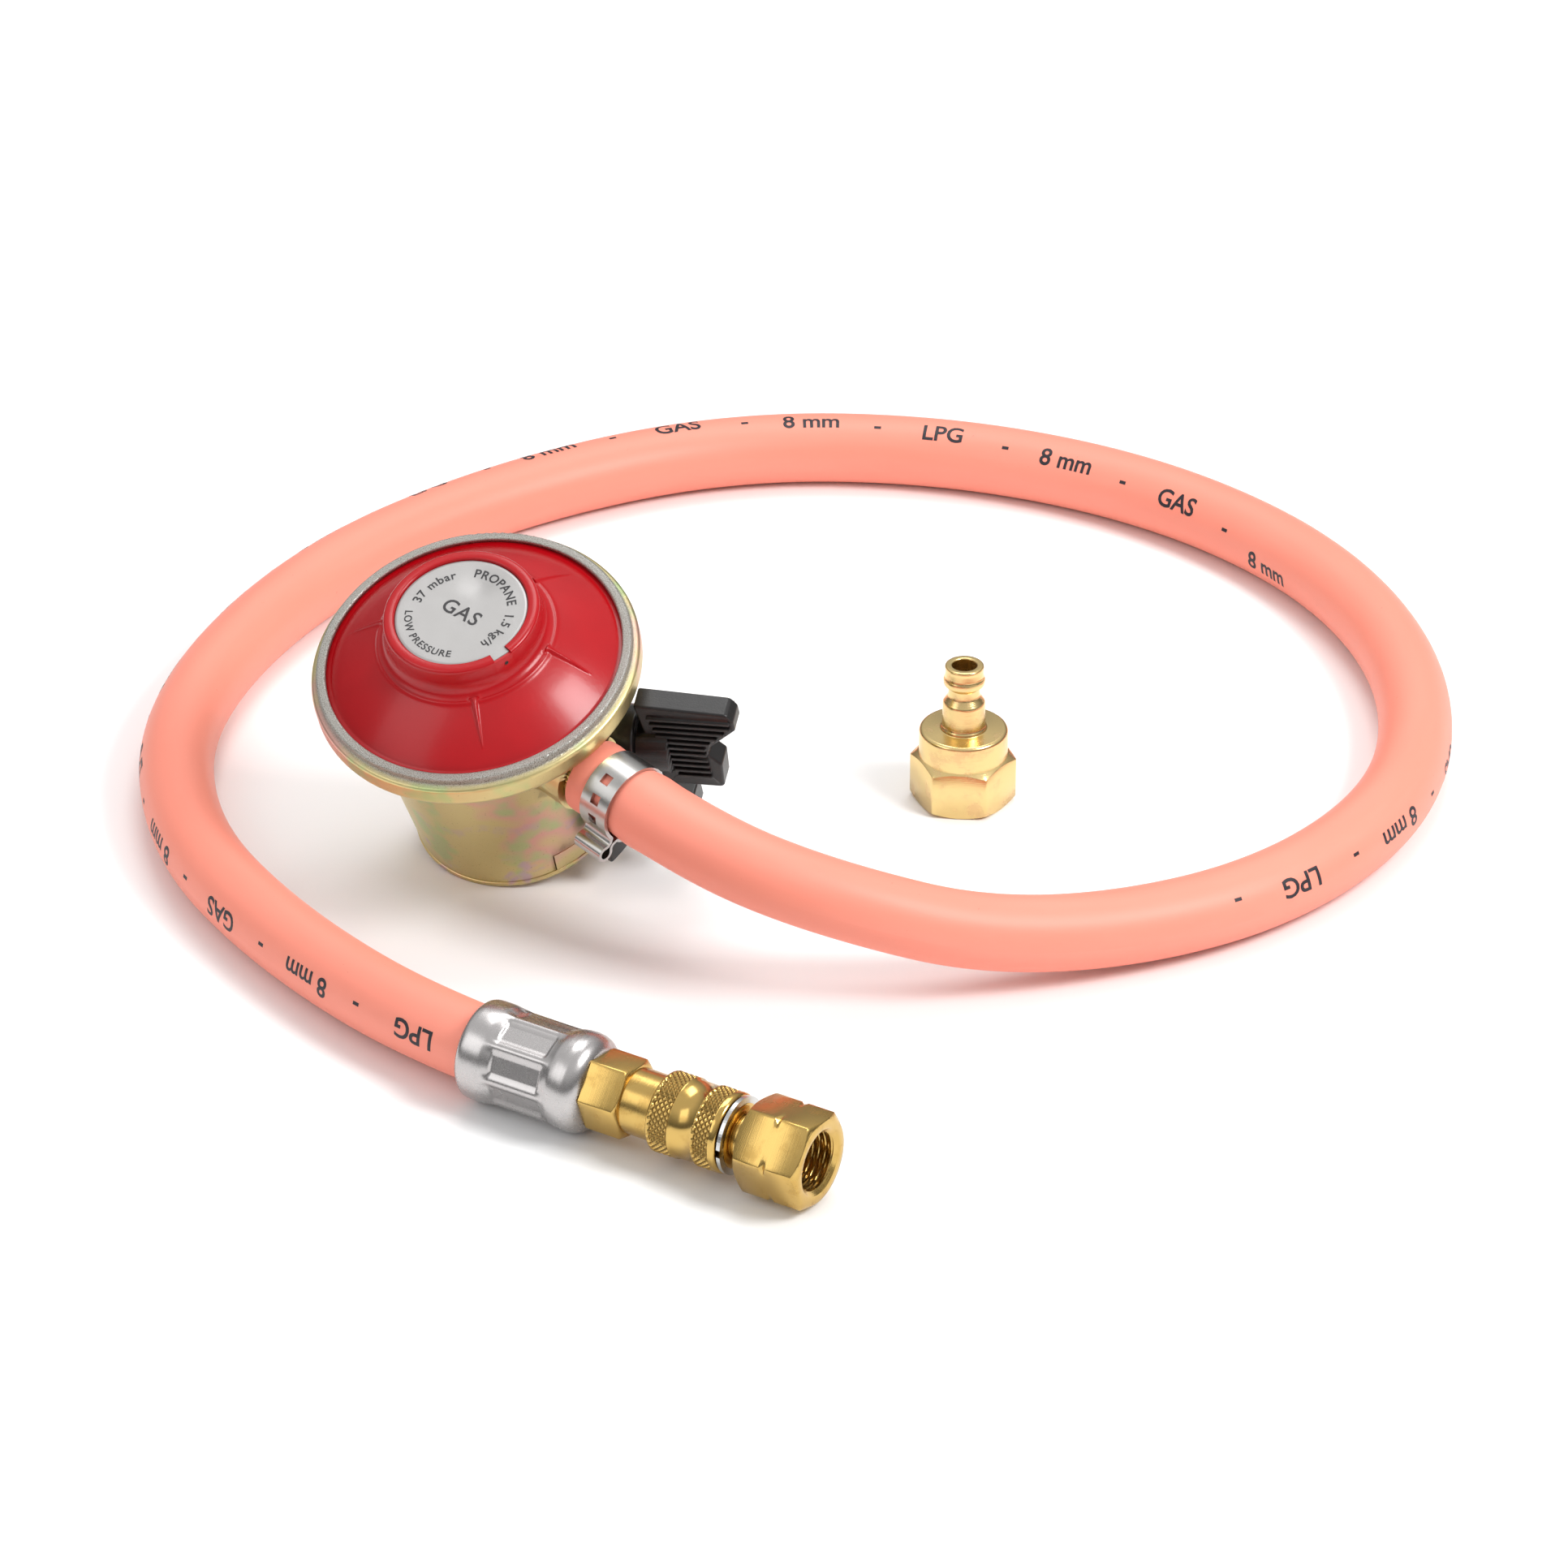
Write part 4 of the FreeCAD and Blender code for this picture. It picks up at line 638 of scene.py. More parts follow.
def flat_word(text, height, bands, spacing=1.0, weight=0.0):
    """The points and faces of a word on the flat, centred, cut into bands across its height."""
    curve = bpy.data.curves.new(text, "FONT")
    curve.body = text
    curve.size = height
    curve.align_x = "CENTER"
    curve.align_y = "CENTER"
    curve.space_character = spacing
    curve.offset = weight * height
    curve.resolution_u = 4
    holder = bpy.data.objects.new("word", curve)
    bpy.context.scene.collection.objects.link(holder)
    mesh = bpy.data.meshes.new_from_object(holder.evaluated_get(bpy.context.evaluated_depsgraph_get()))
    bpy.data.objects.remove(holder)
    work = bmesh.new()
    work.from_mesh(mesh)
    bmesh.ops.remove_doubles(work, verts=work.verts, dist=height * 0.001)
    for level in np.linspace(-height / 2, height / 2, bands + 1)[1:-1]:
        cut = work.verts[:] + work.edges[:] + work.faces[:]
        bmesh.ops.bisect_plane(work, geom=cut, plane_co=(0, level, 0), plane_no=(0, 1, 0))
    bmesh.ops.triangulate(work, faces=work.faces)
    points = np.array([vertex.co[:] for vertex in work.verts])
    faces = np.array([[vertex.index for vertex in face.verts] for face in work.faces])
    work.free()
    bpy.data.meshes.remove(mesh)
    return points, faces


def on_hose(points, station, angle):
    """Lay flat points on the hose: back along it by x, and down round it by y over the radius."""
    _, side, up = line_frames(HOSE_LINE)
    s = np.clip(station - points[:, 0], 0, HOSE_LENGTH)
    turn_to = angle - points[:, 1] / HOSE_R
    mixed = [np.column_stack([np.interp(s, HOSE_STATIONS, part[:, i]) for i in range(3)])
             for part in (HOSE_LINE, side, up)]
    outwards = mixed[1] * np.cos(turn_to)[:, None] + mixed[2] * np.sin(turn_to)[:, None]
    lift = hose_radius(s) + PRINT_LIFT
    return mixed[0] + outwards * lift[:, None]


# %% The printed line
PRINT_FROM_END = 0.0355
PRINT_PITCH = 0.0150
PRINT_TURNS = [(0.15, 40), (0.22, 22), (0.29, -10), (0.34, -90), (0.40, -205), (0.52, -250), (0.70, -320),
               (0.82, -352), (0.93, -345), (1.0, -340)]
PRINT_WORDS = ["LPG", "-", "8 mm", "-", "GAS", "-", "8 mm", "-"]
PRINT_HEIGHT = 0.0056
PRINT_WEIGHT = 0.018


def hose_print():
    """The words in turn, from the ferrule back along the hose, turning with the hose's twist."""
    all_points, all_faces, total = [], [], 0
    count = int((HOSE_LENGTH * (1 - PRINT_TURNS[0][0]) - PRINT_FROM_END) / PRINT_PITCH)
    for index in range(count):
        station = HOSE_LENGTH - PRINT_FROM_END - index * PRINT_PITCH
        angle = math.radians(np.interp(station / HOSE_LENGTH, *np.transpose(PRINT_TURNS)))
        points, faces = flat_word(PRINT_WORDS[index % len(PRINT_WORDS)], PRINT_HEIGHT, 14, 1.0, PRINT_WEIGHT)
        all_points.append(on_hose(points, station, angle))
        all_faces.append(faces + total)
        total += len(points)
    return new_piece("hose_print", np.concatenate(all_points), np.concatenate(all_faces),
                     FINISHES["hose_ink"], "root", outwards=False)


printed = hose_print()
print("print faces:", len(printed.data.polygons))

# %% [markdown]
# ## Turned and hexagonal pieces
#
# A lathe piece is a profile of radius against height, carried round its axis. A hexagon fits the
# same grid: its radius is the flat's distance divided by the cosine of the angle from the flat,
# and its turned-off corners start where the chamfer's cone meets that radius, so the arcs on the
# flats come out true.

# %% Profiles, rounded corners and sweeps round an axis
def eased(profile, radius=0.3, steps=4):
    """An open outline whose corners become short curves that start and end on their sides."""
    points = np.asarray(profile, float)
    before, corner, after = points[:-2], points[1:-1], points[2:]
    near = np.linalg.norm(before - corner, axis=1)
    far = np.linalg.norm(after - corner, axis=1)
    cut = np.minimum(radius, 0.45 * np.minimum(near, far))
    start = corner + (before - corner) * (cut / near)[:, None]
    end = corner + (after - corner) * (cut / far)[:, None]
    t = np.linspace(0, 1, steps)[None, :, None]
    curve = start[:, None] * (1 - t) ** 2 + 2 * corner[:, None] * t * (1 - t) + end[:, None] * t ** 2
    return np.concatenate([points[:1], curve.reshape(-1, 2), points[-1:]])


def around_axis(radius, height, angle):
    """Polar to straight coordinates: radius times cosine and sine of the angle, then height."""
    radius, height, angle = np.broadcast_arrays(radius, height, angle)
    return np.stack([radius * np.cos(angle), radius * np.sin(angle), height], axis=-1)


def smooth_step(value, low, high):
    """0 at low, 1 at high, with a level start and end: 3 t squared less 2 t cubed."""
    t = np.clip((value - low) / (high - low), 0, 1)
    return t * t * (3 - 2 * t)


def off_from(angle, centre_deg):
    """The signed angle from a direction, in radians."""
    return (angle - math.radians(centre_deg) + math.pi) % (2 * math.pi) - math.pi


def repeat_angles(sector_deg, count, turn_deg=0.0):
    """The same set of angles in each of several equal sectors."""
    step = 360 / count
    return np.radians((np.asarray(sector_deg)[None] + step * np.arange(count)[:, None]).ravel() + turn_deg)


def constant_rows(profile, angle):
    """A turned profile as rows: the same radius and height at every angle."""
    return [(np.full_like(angle, radius), np.full_like(angle, height)) for radius, height in profile]


def from_rows(rows, angle):
    """Stack rows of (radius, height) into one grid of points."""
    radius = np.stack([np.broadcast_to(row[0], angle.shape) for row in rows])
    height = np.stack([np.broadcast_to(row[1], angle.shape) for row in rows])
    return around_axis(radius, height, angle[None])


# %% Hexagons
HEX_SECTOR_DEG = (-30, -25, -18, -10, -4, -2.2, -1.1, 0, 1.1, 2.2, 4, 10, 18, 25)
BREAK_SLOPE = math.tan(math.radians(30))
BREAK_INSET = 0.25


def hex_radius(angle, turn_deg, across_flats, corner_r=0.35):
    """Flat distance over the cosine of the angle from the flat, eased near the corner."""
    off = (angle - math.radians(turn_deg)) % (math.pi / 3) - math.pi / 6
    sharp = across_flats / 2 / np.cos(off)
    corner = across_flats / math.sqrt(3)
    return sharp - np.maximum(0, sharp - (corner - corner_r)) ** 2 / (4 * corner_r)


def hex_sides(angle, turn_deg, across_flats, low, high, groove_at=None):
    """Rows up a hexagon: a cone break at each end, and a turned groove where one is asked for."""
    flat = across_flats / 2
    radius = hex_radius(angle, turn_deg, across_flats)
    drop = (radius - flat + BREAK_INSET) * BREAK_SLOPE
    rows = [(flat - BREAK_INSET, low), (radius - 0.06, low + drop - 0.03), (radius, low + drop + 0.06)]
    if groove_at is not None:
        for step in (-0.75, -0.7, -0.35, 0, 0.35, 0.7, 0.75):
            rows.append((np.minimum(radius, flat + 0.55 + abs(step)), groove_at + step))
    rows += [(radius, high - drop - 0.06), (radius - 0.06, high - drop + 0.03), (flat - BREAK_INSET, high)]
    return rows


# %% The plug nut and its thread
THREAD_R = 5.85
THREAD_DEEP = 0.62
THREAD_PITCH = 1.337
PLUG_TURN_DEG = -9.4
PLUG_AF = 17.0
PLUG_HEX = (61.5, 75.7)
PLUG_GROOVE_AT = 68.6


def thread_rows(angle, low, high, steps_per_turn=10):
    """The bore's wall with a left-hand groove: depth follows a wave of height plus angle."""
    rows = []
    for height in np.linspace(low, high, int((high - low) / THREAD_PITCH * steps_per_turn)):
        phase = (height / THREAD_PITCH + angle / (2 * math.pi)) % 1.0
        ramp = np.clip(1.35 - np.abs(phase - 0.5) * 4.2, 0, 1)
        fade = np.clip(min(height - low, high - height) / 0.5, 0, 1)
        rows.append((THREAD_R + THREAD_DEEP * ramp * fade, height))
    return rows


def plug_nut():
    """Nose, locking groove, collar, hexagon, and the threaded bore, as one wall."""
    angle = repeat_angles(HEX_SECTOR_DEG, 6, PLUG_TURN_DEG)
    nose = [(2.5, 64.0), (2.5, 47.1), (2.7, 46.9), (3.8, 46.9), (4.4, 47.9), (4.4, 52.2), (3.75, 52.5),
            (3.75, 54.7), (4.4, 55.0), (4.4, 59.2), (5.0, 59.5), (5.0, 60.3), (6.4, 61.2), (6.6, 61.5)]
    rows = constant_rows(nose, angle)
    rows += hex_sides(angle, PLUG_TURN_DEG, PLUG_AF, *PLUG_HEX, PLUG_GROOVE_AT)
    rows += constant_rows([(6.9, 75.7), (6.65, 75.6), (5.95, 74.95)], angle)
    rows += thread_rows(angle, 65.4, 74.9)[::-1]
    rows += constant_rows([(5.7, 65.1), (2.6, 64.2)], angle)
    points = COUPLER.out(from_rows(rows, angle))
    return ring_piece("plug_nut_skin", points, FINISHES["coupler_brass"], "plug")


plug = plug_nut()
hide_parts("plug_nut")
print("plug nut faces:", len(plug.data.polygons))

# %% [markdown]
# ## The coupler's body
#
# One turned brass piece on hexagon bar. Its tail is inside the hose, its barrel is inside the
# sleeve, and between them show the hexagon and the neck. Only the hexagon's outer end is turned
# off, because its inner end stands against the ferrule. The tail is a plain cylinder here, since
# the hose hides its barbs.

# %% The coupler's body
COUPLER_TAIL = [(2.5, 37.0), (2.5, 3.0), (3.6, 3.0), (4.0, 5.0), (4.0, 24.0), (5.6, 24.0), (5.6, 26.95),
                (6.5, 27.0)]
COUPLER_BARREL = [(6.5, 35.2), (6.5, 42.0), (7.2, 42.0), (7.2, 44.2), (6.4, 44.2), (6.4, 57.45), (5.9, 57.5),
                  (5.9, 58.3), (6.4, 58.35), (6.0, 58.6), (4.5, 58.6), (4.5, 46.5), (3.8, 45.3), (3.8, 38.0)]
COUPLER_AF = 14.0
COUPLER_HEX = (27.0, 35.2)


def coupler_body():
    """Tail in the hose, hexagon with its outer corners turned off, neck, barrel and bore."""
    angle = repeat_angles(HEX_SECTOR_DEG, 6, PLUG_TURN_DEG)
    rows = constant_rows(COUPLER_TAIL, angle)
    rows.append((hex_radius(angle, PLUG_TURN_DEG, COUPLER_AF), COUPLER_HEX[0]))
    rows += hex_sides(angle, PLUG_TURN_DEG, COUPLER_AF, *COUPLER_HEX)[3:]
    rows += constant_rows(COUPLER_BARREL, angle)
    points = COUPLER.out(from_rows(rows, angle))
    return ring_piece("coupler_body_skin", points, FINISHES["coupler_brass"], "root")


coupler = coupler_body()
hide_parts("coupler_body")
print("coupler body faces:", len(coupler.data.polygons))

# %% [markdown]
# ## The spare adapter
#
# It is turned from hexagon bar: a nipple with a ball groove, a wide collar, and the hexagon left
# below. Every corner of the turned outline is eased, because plating rounds it and because a
# sharp corner catches no light.

# %% Spare adapter
ADAPTER_TURN_DEG = -6.0
ADAPTER_AF = 19.0
ADAPTER_HEX = (0.0, 10.4)
NIPPLE = [(9.1, 10.5), (9.1, 15.9), (8.6, 16.4), (4.75, 16.4), (4.75, 16.8), (4.4, 17.3), (4.35, 22.3),
          (4.25, 22.7), (3.25, 24.1), (3.2, 26.0), (4.2, 26.7), (4.3, 27.9), (3.95, 28.5), (3.9, 30.0),
          (4.0, 30.4), (3.95, 30.8), (3.7, 31.0), (2.7, 31.0), (2.5, 30.8), (2.5, 11.4)]


def spare_adapter():
    """The hexagon, then the eased outline over it, then the bore and its thread."""
    angle = repeat_angles(HEX_SECTOR_DEG, 6, ADAPTER_TURN_DEG)
    rows = hex_sides(angle, ADAPTER_TURN_DEG, ADAPTER_AF, *ADAPTER_HEX)
    rows += constant_rows(eased(NIPPLE, 0.35), angle)
    rows += thread_rows(angle, 0.8, 10.2)[::-1]
    rows += constant_rows([(5.95, 0.75), (6.65, 0.0)], angle)
    points = ADAPTER.out(from_rows(rows, angle))
    return ring_piece("spare_adapter_skin", points, FINISHES["pale_brass"], "adapter")


adapter = spare_adapter()
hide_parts("spare_adapter")
print("adapter faces:", len(adapter.data.polygons))

# %% [markdown]
# ## The crimped ferrule
#
# A steel tube is pressed onto the hose by eight jaws. Each jaw leaves a long panel with a soft
# step round it, and the metal between two jaws stands up as a ridge. So the radius is a plain
# outline, less a soft dish, less a flat panel: each depth is a window along the axis times a
# window round it.

# %% Ferrule
FERRULE_LINE = [(0.0, 8.9), (0.2, 9.4), (0.6, 9.72), (1.2, 9.87), (2.0, 9.9), (4.2, 9.88), (6.0, 9.66),
                (8.0, 9.46), (18.0, 9.46), (20.0, 9.6), (21.6, 9.84), (23.0, 9.9), (24.2, 9.78),
                (25.2, 9.4), (26.0, 8.8), (26.6, 8.0), (27.0, 7.2)]
FERRULE_INNER = [(5.65, 27.0), (5.65, 24.1), (7.62, 24.05), (7.62, 0.4), (7.9, 0.1)]
PANEL_SECTOR_DEG = (-22.5, -20.5, -19, -18, -17, -16, -15.2, -14.6, -14, -13.4, -12.6, -10, -6, -2, 2, 6,
                    10, 12.6, 13.4, 14, 14.6, 15.2, 16, 17, 18, 19, 20.5)


def panel_radius(station, angle):
    """The outline, less a soft dish and a flat panel in each of eight sectors."""
    plain = np.interp(station, *np.transpose(FERRULE_LINE))
    off = np.degrees(angle) % 45 - 22.5
    dish = smooth_step(station, 5.2, 7.4) * smooth_step(station, 20.8, 18.6)
    dish = dish * smooth_step(np.abs(off), 20.5, 15.0)
    panel = smooth_step(station, 7.2, 7.9) * smooth_step(station, 18.8, 18.1)
    panel = panel * smooth_step(np.abs(off), 15.0, 13.2)
    bottom = 8.40 / np.cos(np.radians(off))
    dished = plain - 0.45 * dish
    return dished + (bottom - dished) * panel


def ferrule():
    """Stations close together at the panel ends, and a plain wall inside."""
    stations = np.concatenate([[0, 0.2, 0.6, 1.2, 2, 3, 4.2], np.linspace(5, 8.2, 22), np.linspace(9, 17, 9),
                               np.linspace(17.8, 21, 22), np.linspace(21.6, 27, 16)])
    angle = repeat_angles(PANEL_SECTOR_DEG, 8)
    rows = [(panel_radius(station, angle), station) for station in stations]
    rows += constant_rows(FERRULE_INNER, angle)
    points = COUPLER.out(from_rows(rows, angle))
    return ring_piece("ferrule_skin", points, FINISHES["crimp_steel"], "root", 60)


crimp = ferrule()
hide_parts("ferrule")
print("ferrule faces:", len(crimp.data.polygons))

# %% [markdown]
# ## The knurled sleeve
#
# Two wheels with slanted teeth roll a diamond pattern into two bands. A diamond's height is the
# lower of two triangle waves that slant opposite ways, so the crest is a small pyramid.

# %% Sleeve
KNURLS_ROUND = 38
KNURL_PITCH = 1.2
KNURL_DEEP = 0.42
KNURL_BANDS = [(42.4, 46.7), (52.1, 55.7)]
SLEEVE_OUTER = [(7.25, 41.8), (7.6, 41.8), (7.95, 42.1), (8.0, 42.4), (8.0, 46.7), (7.95, 46.95),
                (7.65, 47.3), (7.65, 51.5), (7.95, 51.85), (8.0, 52.1), (8.0, 55.7), (7.97, 55.9),
                (7.97, 56.6), (7.7, 57.0), (7.5, 57.1)]
SLEEVE_INNER = [(6.5, 53.4), (6.5, 52.6), (7.25, 52.55)]


def triangle_wave(value):
    """0 at every whole number and 1 half way between."""
    return 1 - 2 * np.abs(value % 1.0 - 0.5)


def knurled_brass():
    """Brass that is much darker where the radius is below the crests, inside the bands: darker in the knurl's
    grooves.
    """
    finish = Finish("knurled_brass", {"Metallic": 1.0})
    where = finish.local(COUPLER)
    x, y, z = finish.split(where)
    radius = (x * x + y * y).maths("SQRT")
    bands = [z.between(low, low + 0.3) * (1 - z.between(high - 0.3, high)) for low, high in KNURL_BANDS]
    # Darker by depth below the crests, in the knurl's grooves only.
    groove_darkening = (1 - radius.between(7.55, 7.92)) * (bands[0] + bands[1])
    stain = finish.noise(where, 0.28, 4.0).between(0.46, 0.72)
    brass_tone = finish.mix(stain * 0.5, (0.60, 0.40, 0.125), (0.44, 0.26, 0.065))
    finish.set("Base Color", finish.mix(groove_darkening * 0.85, brass_tone, (0.13, 0.07, 0.02)))
    finish.set("Roughness", stain * 0.10 + groove_darkening * 0.25 + 0.16)
    finish.bump(finish.noise(where, 4.0, 3.0), 0.00003, 0.3)
    return finish.material


def knurl_depth(station, angle):
    """Depth below the crests: deep where either of the two slanted waves is low."""
    turns = angle * KNURLS_ROUND / (2 * math.pi)
    slide = station / KNURL_PITCH
    crest = np.minimum(triangle_wave(turns + slide), triangle_wave(turns - slide))
    inside = max(smooth_step(station, low - 0.05, low + 0.25) * smooth_step(station, high + 0.05, high - 0.25)
                 for low, high in KNURL_BANDS)
    return KNURL_DEEP * inside * (1 - np.minimum(1, crest * 1.08))


def coupler_sleeve():
    """The plain outline at close steps inside the bands, less the knurl's depth."""
    angle = np.arange(KNURLS_ROUND * 8) * 2 * math.pi / (KNURLS_ROUND * 8)
    radii, stations = np.transpose(SLEEVE_OUTER)
    close = [np.arange(low, high, KNURL_PITCH / 8) for low, high in KNURL_BANDS]
    steps = np.unique(np.concatenate([stations[2:-1], *close]))
    rows = constant_rows(SLEEVE_OUTER[:2], angle)
    rows += [(np.interp(step, stations[2:], radii[2:]) - knurl_depth(step, angle), step) for step in steps]
    rows += constant_rows([(7.46, 57.1), *SLEEVE_INNER], angle)
    points = COUPLER.out(from_rows(rows, angle))
    return ring_piece("coupler_sleeve_skin", points, knurled_brass(), "sleeve", 45)


sleeve = coupler_sleeve()
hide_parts("coupler_sleeve")
print("sleeve faces:", len(sleeve.data.polygons))

# %% [markdown]
# ## The red bonnet
#
# The bonnet is pressed from sheet: a flat edge under the rolled rim, a cone, and a boss with a
# pocket for the label. Its thin creases stiffen the cone. Each crease is a bell across, narrower
# and lower further down, and flares at its top into the fold round the foot of the boss.

# %% Bonnet
CREASE_FIRST_DEG = -85.0
CREASE_STEP_DEG = 62.0
CREASES = 5
LABEL_TAB_DEG = -57.0
CONE_FOOT = (28.6, 47.7)
CONE_TOP = (17.5, 55.2)
CONE_SWELL = 0.45
BONNET_EDGE = [(27.6, 45.45), (30.75, 45.45), (30.85, 45.6), (30.85, 47.2), (30.7, 47.35), (28.95, 47.4)]
BOSS_SIDE = [(17.1, 55.55), (16.6, 55.95), (16.2, 56.6), (15.9, 57.5), (15.72, 58.6), (15.62, 61.1)]
BOSS_RIM = [(15.5, 61.5), (15.2, 61.8), (14.8, 61.9), (13.7, 61.9), (13.45, 61.8), (13.35, 61.6),
            (13.3, 60.8)]
BONNET_INNER = [(10.6, 60.8), (10.6, 54.6), (14.5, 53.1)]
NOTCH_HALF_DEG = 7.35
NOTCH_R = 14.85
NOTCH_FLOOR = 61.3


def crease_height(radius, angle):
    """The highest of the creases and the fold ring at a place on the cone."""
    down = np.clip((radius - 17.2) / 8.6, 0, 1)
    half = 0.50 * (1 - 0.72 * down) + 1.5 * np.exp(-down / 0.045)
    height = 0.26 * np.exp(-((radius - 17.9) / 0.4) ** 2) + np.zeros_like(angle)
    for index in range(CREASES):
        across = off_from(angle, CREASE_FIRST_DEG + index * CREASE_STEP_DEG) * radius
        crease = 0.66 * (1 - down) ** 0.55 * np.exp(-(across / half) ** 2)
        height = np.maximum(height, crease)
    return height


def bonnet_angles():
    """Even steps, with close ones across each crease and at both sides of the notch."""
    even = np.arange(0, 360, 2.0)
    creases = CREASE_FIRST_DEG + CREASE_STEP_DEG * np.arange(CREASES)[:, None] + np.linspace(-7, 7, 57)
    notch = LABEL_TAB_DEG + np.outer((-1, 1), (NOTCH_HALF_DEG - 0.06, NOTCH_HALF_DEG + 0.06))
    every = np.concatenate([even, creases.ravel() % 360, notch.ravel() % 360])
    return np.radians(np.unique(np.round(every, 2)))


def bonnet():
    """Edge, creased cone, boss, and the notch through its rim for the label's tab."""
    angle = bonnet_angles()
    rows = constant_rows(BONNET_EDGE, angle)
    for share in np.linspace(0, 1, 70):
        radius = CONE_FOOT[0] + (CONE_TOP[0] - CONE_FOOT[0]) * share
        height = CONE_FOOT[1] + (CONE_TOP[1] - CONE_FOOT[1]) * share + CONE_SWELL * math.sin(math.pi * share)
        rows.append((radius, height + 1.15 * crease_height(radius, angle)))
    rows += constant_rows(BOSS_SIDE, angle)
    notched = np.abs(off_from(angle, LABEL_TAB_DEG)) < math.radians(NOTCH_HALF_DEG)
    for radius, height in BOSS_RIM:
        rows.append((np.where(notched, max(radius, NOTCH_R), radius),
                     np.where(notched, min(height, NOTCH_FLOOR), height)))
    rows += constant_rows(BONNET_INNER, angle)
    points = REG.out(from_rows(rows, angle))
    return ring_piece("bonnet_skin", points, FINISHES["enamel"], "root", 42)


cover = bonnet()
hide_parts("bonnet")
print("bonnet faces:", len(cover.data.polygons))

# %% [markdown]
# ## The vent
#
# The space above the diaphragm has to breathe, so the boss has a pinhole. A real hole would need
# the boss's wall to be cut; at this size a small flat dark disc on it looks the same. The disc is
# painted shade: its black stands for the dark inside of the hole.

# %% Vent hole beside the notch
def vent():
    """A small dark disc on the side of the boss, just proud of the enamel: painted shade for the inside of the
    pinhole.
    """
    angle = np.linspace(0, 2 * math.pi, 24, endpoint=False)
    outward = np.array([math.cos(math.radians(-56)), math.sin(math.radians(-56)), 0])
    across = np.array([-outward[1], outward[0], 0])
    centre = outward * 15.72 + (0, 0, 59.9)
    ring = centre + np.outer(np.cos(angle) * 0.42, across) + np.outer(np.sin(angle) * 0.42, (0, 0, 1))
    points = REG.out(np.stack([ring - outward * 0.3, ring, centre + (ring - centre) * 0.05]))
    # The black rubber finish here is painted shade, not rubber: the dark inside of the pinhole.
    return new_piece("vent_hole", points, grid_faces(3, 24, False, True), FINISHES["rubber"],
                     "root")


vent()

# %% [markdown]
# ## The label
#
# A thin disc with a tab that keys into the notch. It was pressed in by hand, so it has a shallow
# dent. The print is plain data and the kind of gas, each word bent round the disc.

# %% Label disc
LABEL_R = 13.2
LABEL_TAB_R = 14.7
LABEL_TOP = 61.3
DENT_AT = (3.8, 6.8)


def label_height(x, y):
    """The flat top, less a bell-shaped dent and a slight dish."""
    dent = 0.30 * np.exp(-((x - DENT_AT[0]) ** 2 + (y - DENT_AT[1]) ** 2) / (2 * 2.2 ** 2))
    return LABEL_TOP - dent + 0.0006 * (x * x + y * y)


def label_disc():
    """Rings from the middle out to the edge, over it, and back underneath."""
    tab_edges = LABEL_TAB_DEG + np.array([-6.96, -6.9, 6.9, 6.96])
    angle = np.radians(np.unique(np.concatenate([np.arange(0, 360, 2.5), tab_edges % 360])))
    off = off_from(angle, LABEL_TAB_DEG)
    edge = np.where(np.abs(off) < math.radians(6.93), LABEL_TAB_R / np.cos(off), LABEL_R)
    rows = []
    for share in np.linspace(0.0005, 0.99, 30):
        radius = edge * share
        rows.append((radius, label_height(radius * np.cos(angle), radius * np.sin(angle))))
    rows += [(edge, LABEL_TOP), (edge, LABEL_TOP - 0.42), (edge * 0.0005, LABEL_TOP - 0.45)]
    points = REG.out(from_rows(rows, angle))
    return ring_piece("label_disc_skin", points, FINISHES["label"], "root", 40)


label = label_disc()
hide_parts("label_disc")

# %% [markdown]
# ## Print on the label
#
# The words are flat meshes like those on the hose. Bending them round the disc takes one formula:
# distance along the word becomes an angle, and height above its line becomes a radius.

# %% Print on the label
LABEL_WORDS = [("37 mbar", 2.7, 9.7, 126, 1), ("PROPANE", 2.7, 10.0, 38, 1), ("1.5 kg/h", 2.6, 9.8, -38, 1),
               ("LOW PRESSURE", 2.2, 10.6, 214, -1)]


def label_print():
    """Words bent round the disc: x becomes an angle over the radius, and y adds to the radius."""
    all_points, all_faces, total = [], [], 0
    for text, height, radius, centre_deg, way in LABEL_WORDS:
        points, faces = flat_word(text, height, 3, 1.12, 0.018)
        angle = math.radians(centre_deg) - way * points[:, 0] / radius
        reach = radius + way * points[:, 1]
        x, y = reach * np.cos(angle), reach * np.sin(angle)
        all_points.append(np.column_stack([x, y, label_height(x, y) + 0.04]))
        all_faces.append(faces + total)
        total += len(points)
    points, faces = flat_word("GAS", 4.6, 3, 1.1, 0.012)
    turned = math.radians(-40)
    x = points[:, 0] * math.cos(turned) - points[:, 1] * math.sin(turned)
    y = points[:, 0] * math.sin(turned) + points[:, 1] * math.cos(turned)
    all_points.append(np.column_stack([x, y, label_height(x, y) + 0.04]))
    all_faces.append(faces + total)
    return new_piece("label_print", REG.out(np.concatenate(all_points)), np.concatenate(all_faces),
                     FINISHES["label_ink"], "root", outwards=False)


label_print()
print("label faces:", len(label.data.polygons))

# %% [markdown]
# ## The hose clamp
#
# A band of spring steel with three square windows, closed by a pinched loop. Its line in the plane
# across the hose is closed: most of a circle, then out and back round the loop. The strip is that
# line with a thickness and a width, and the windows are cells of the strip left out.

# %% Clamp
CLAMP_MIDDLE_R = 7.95
CLAMP_THICK = 0.7
LOOP_DEG = -58.0
LOOP_HALF_DEG = 7.0
WINDOWS_DEG = (-162.0, -130.0, -98.0)
WINDOW_HALF_DEG = 7.4
STRIP_Z = (35.2, 35.35, 37.65, 39.75, 42.05, 42.2)
WINDOW_COLUMN = 2

nozzle_turn = math.radians(-46)
nozzle_out = REG.axes[0] * math.cos(nozzle_turn) + REG.axes[1] * math.sin(nozzle_turn)
NOZZLE = Place(REG.out((0, 0, 33.2)), -REG.axes[2], nozzle_out)


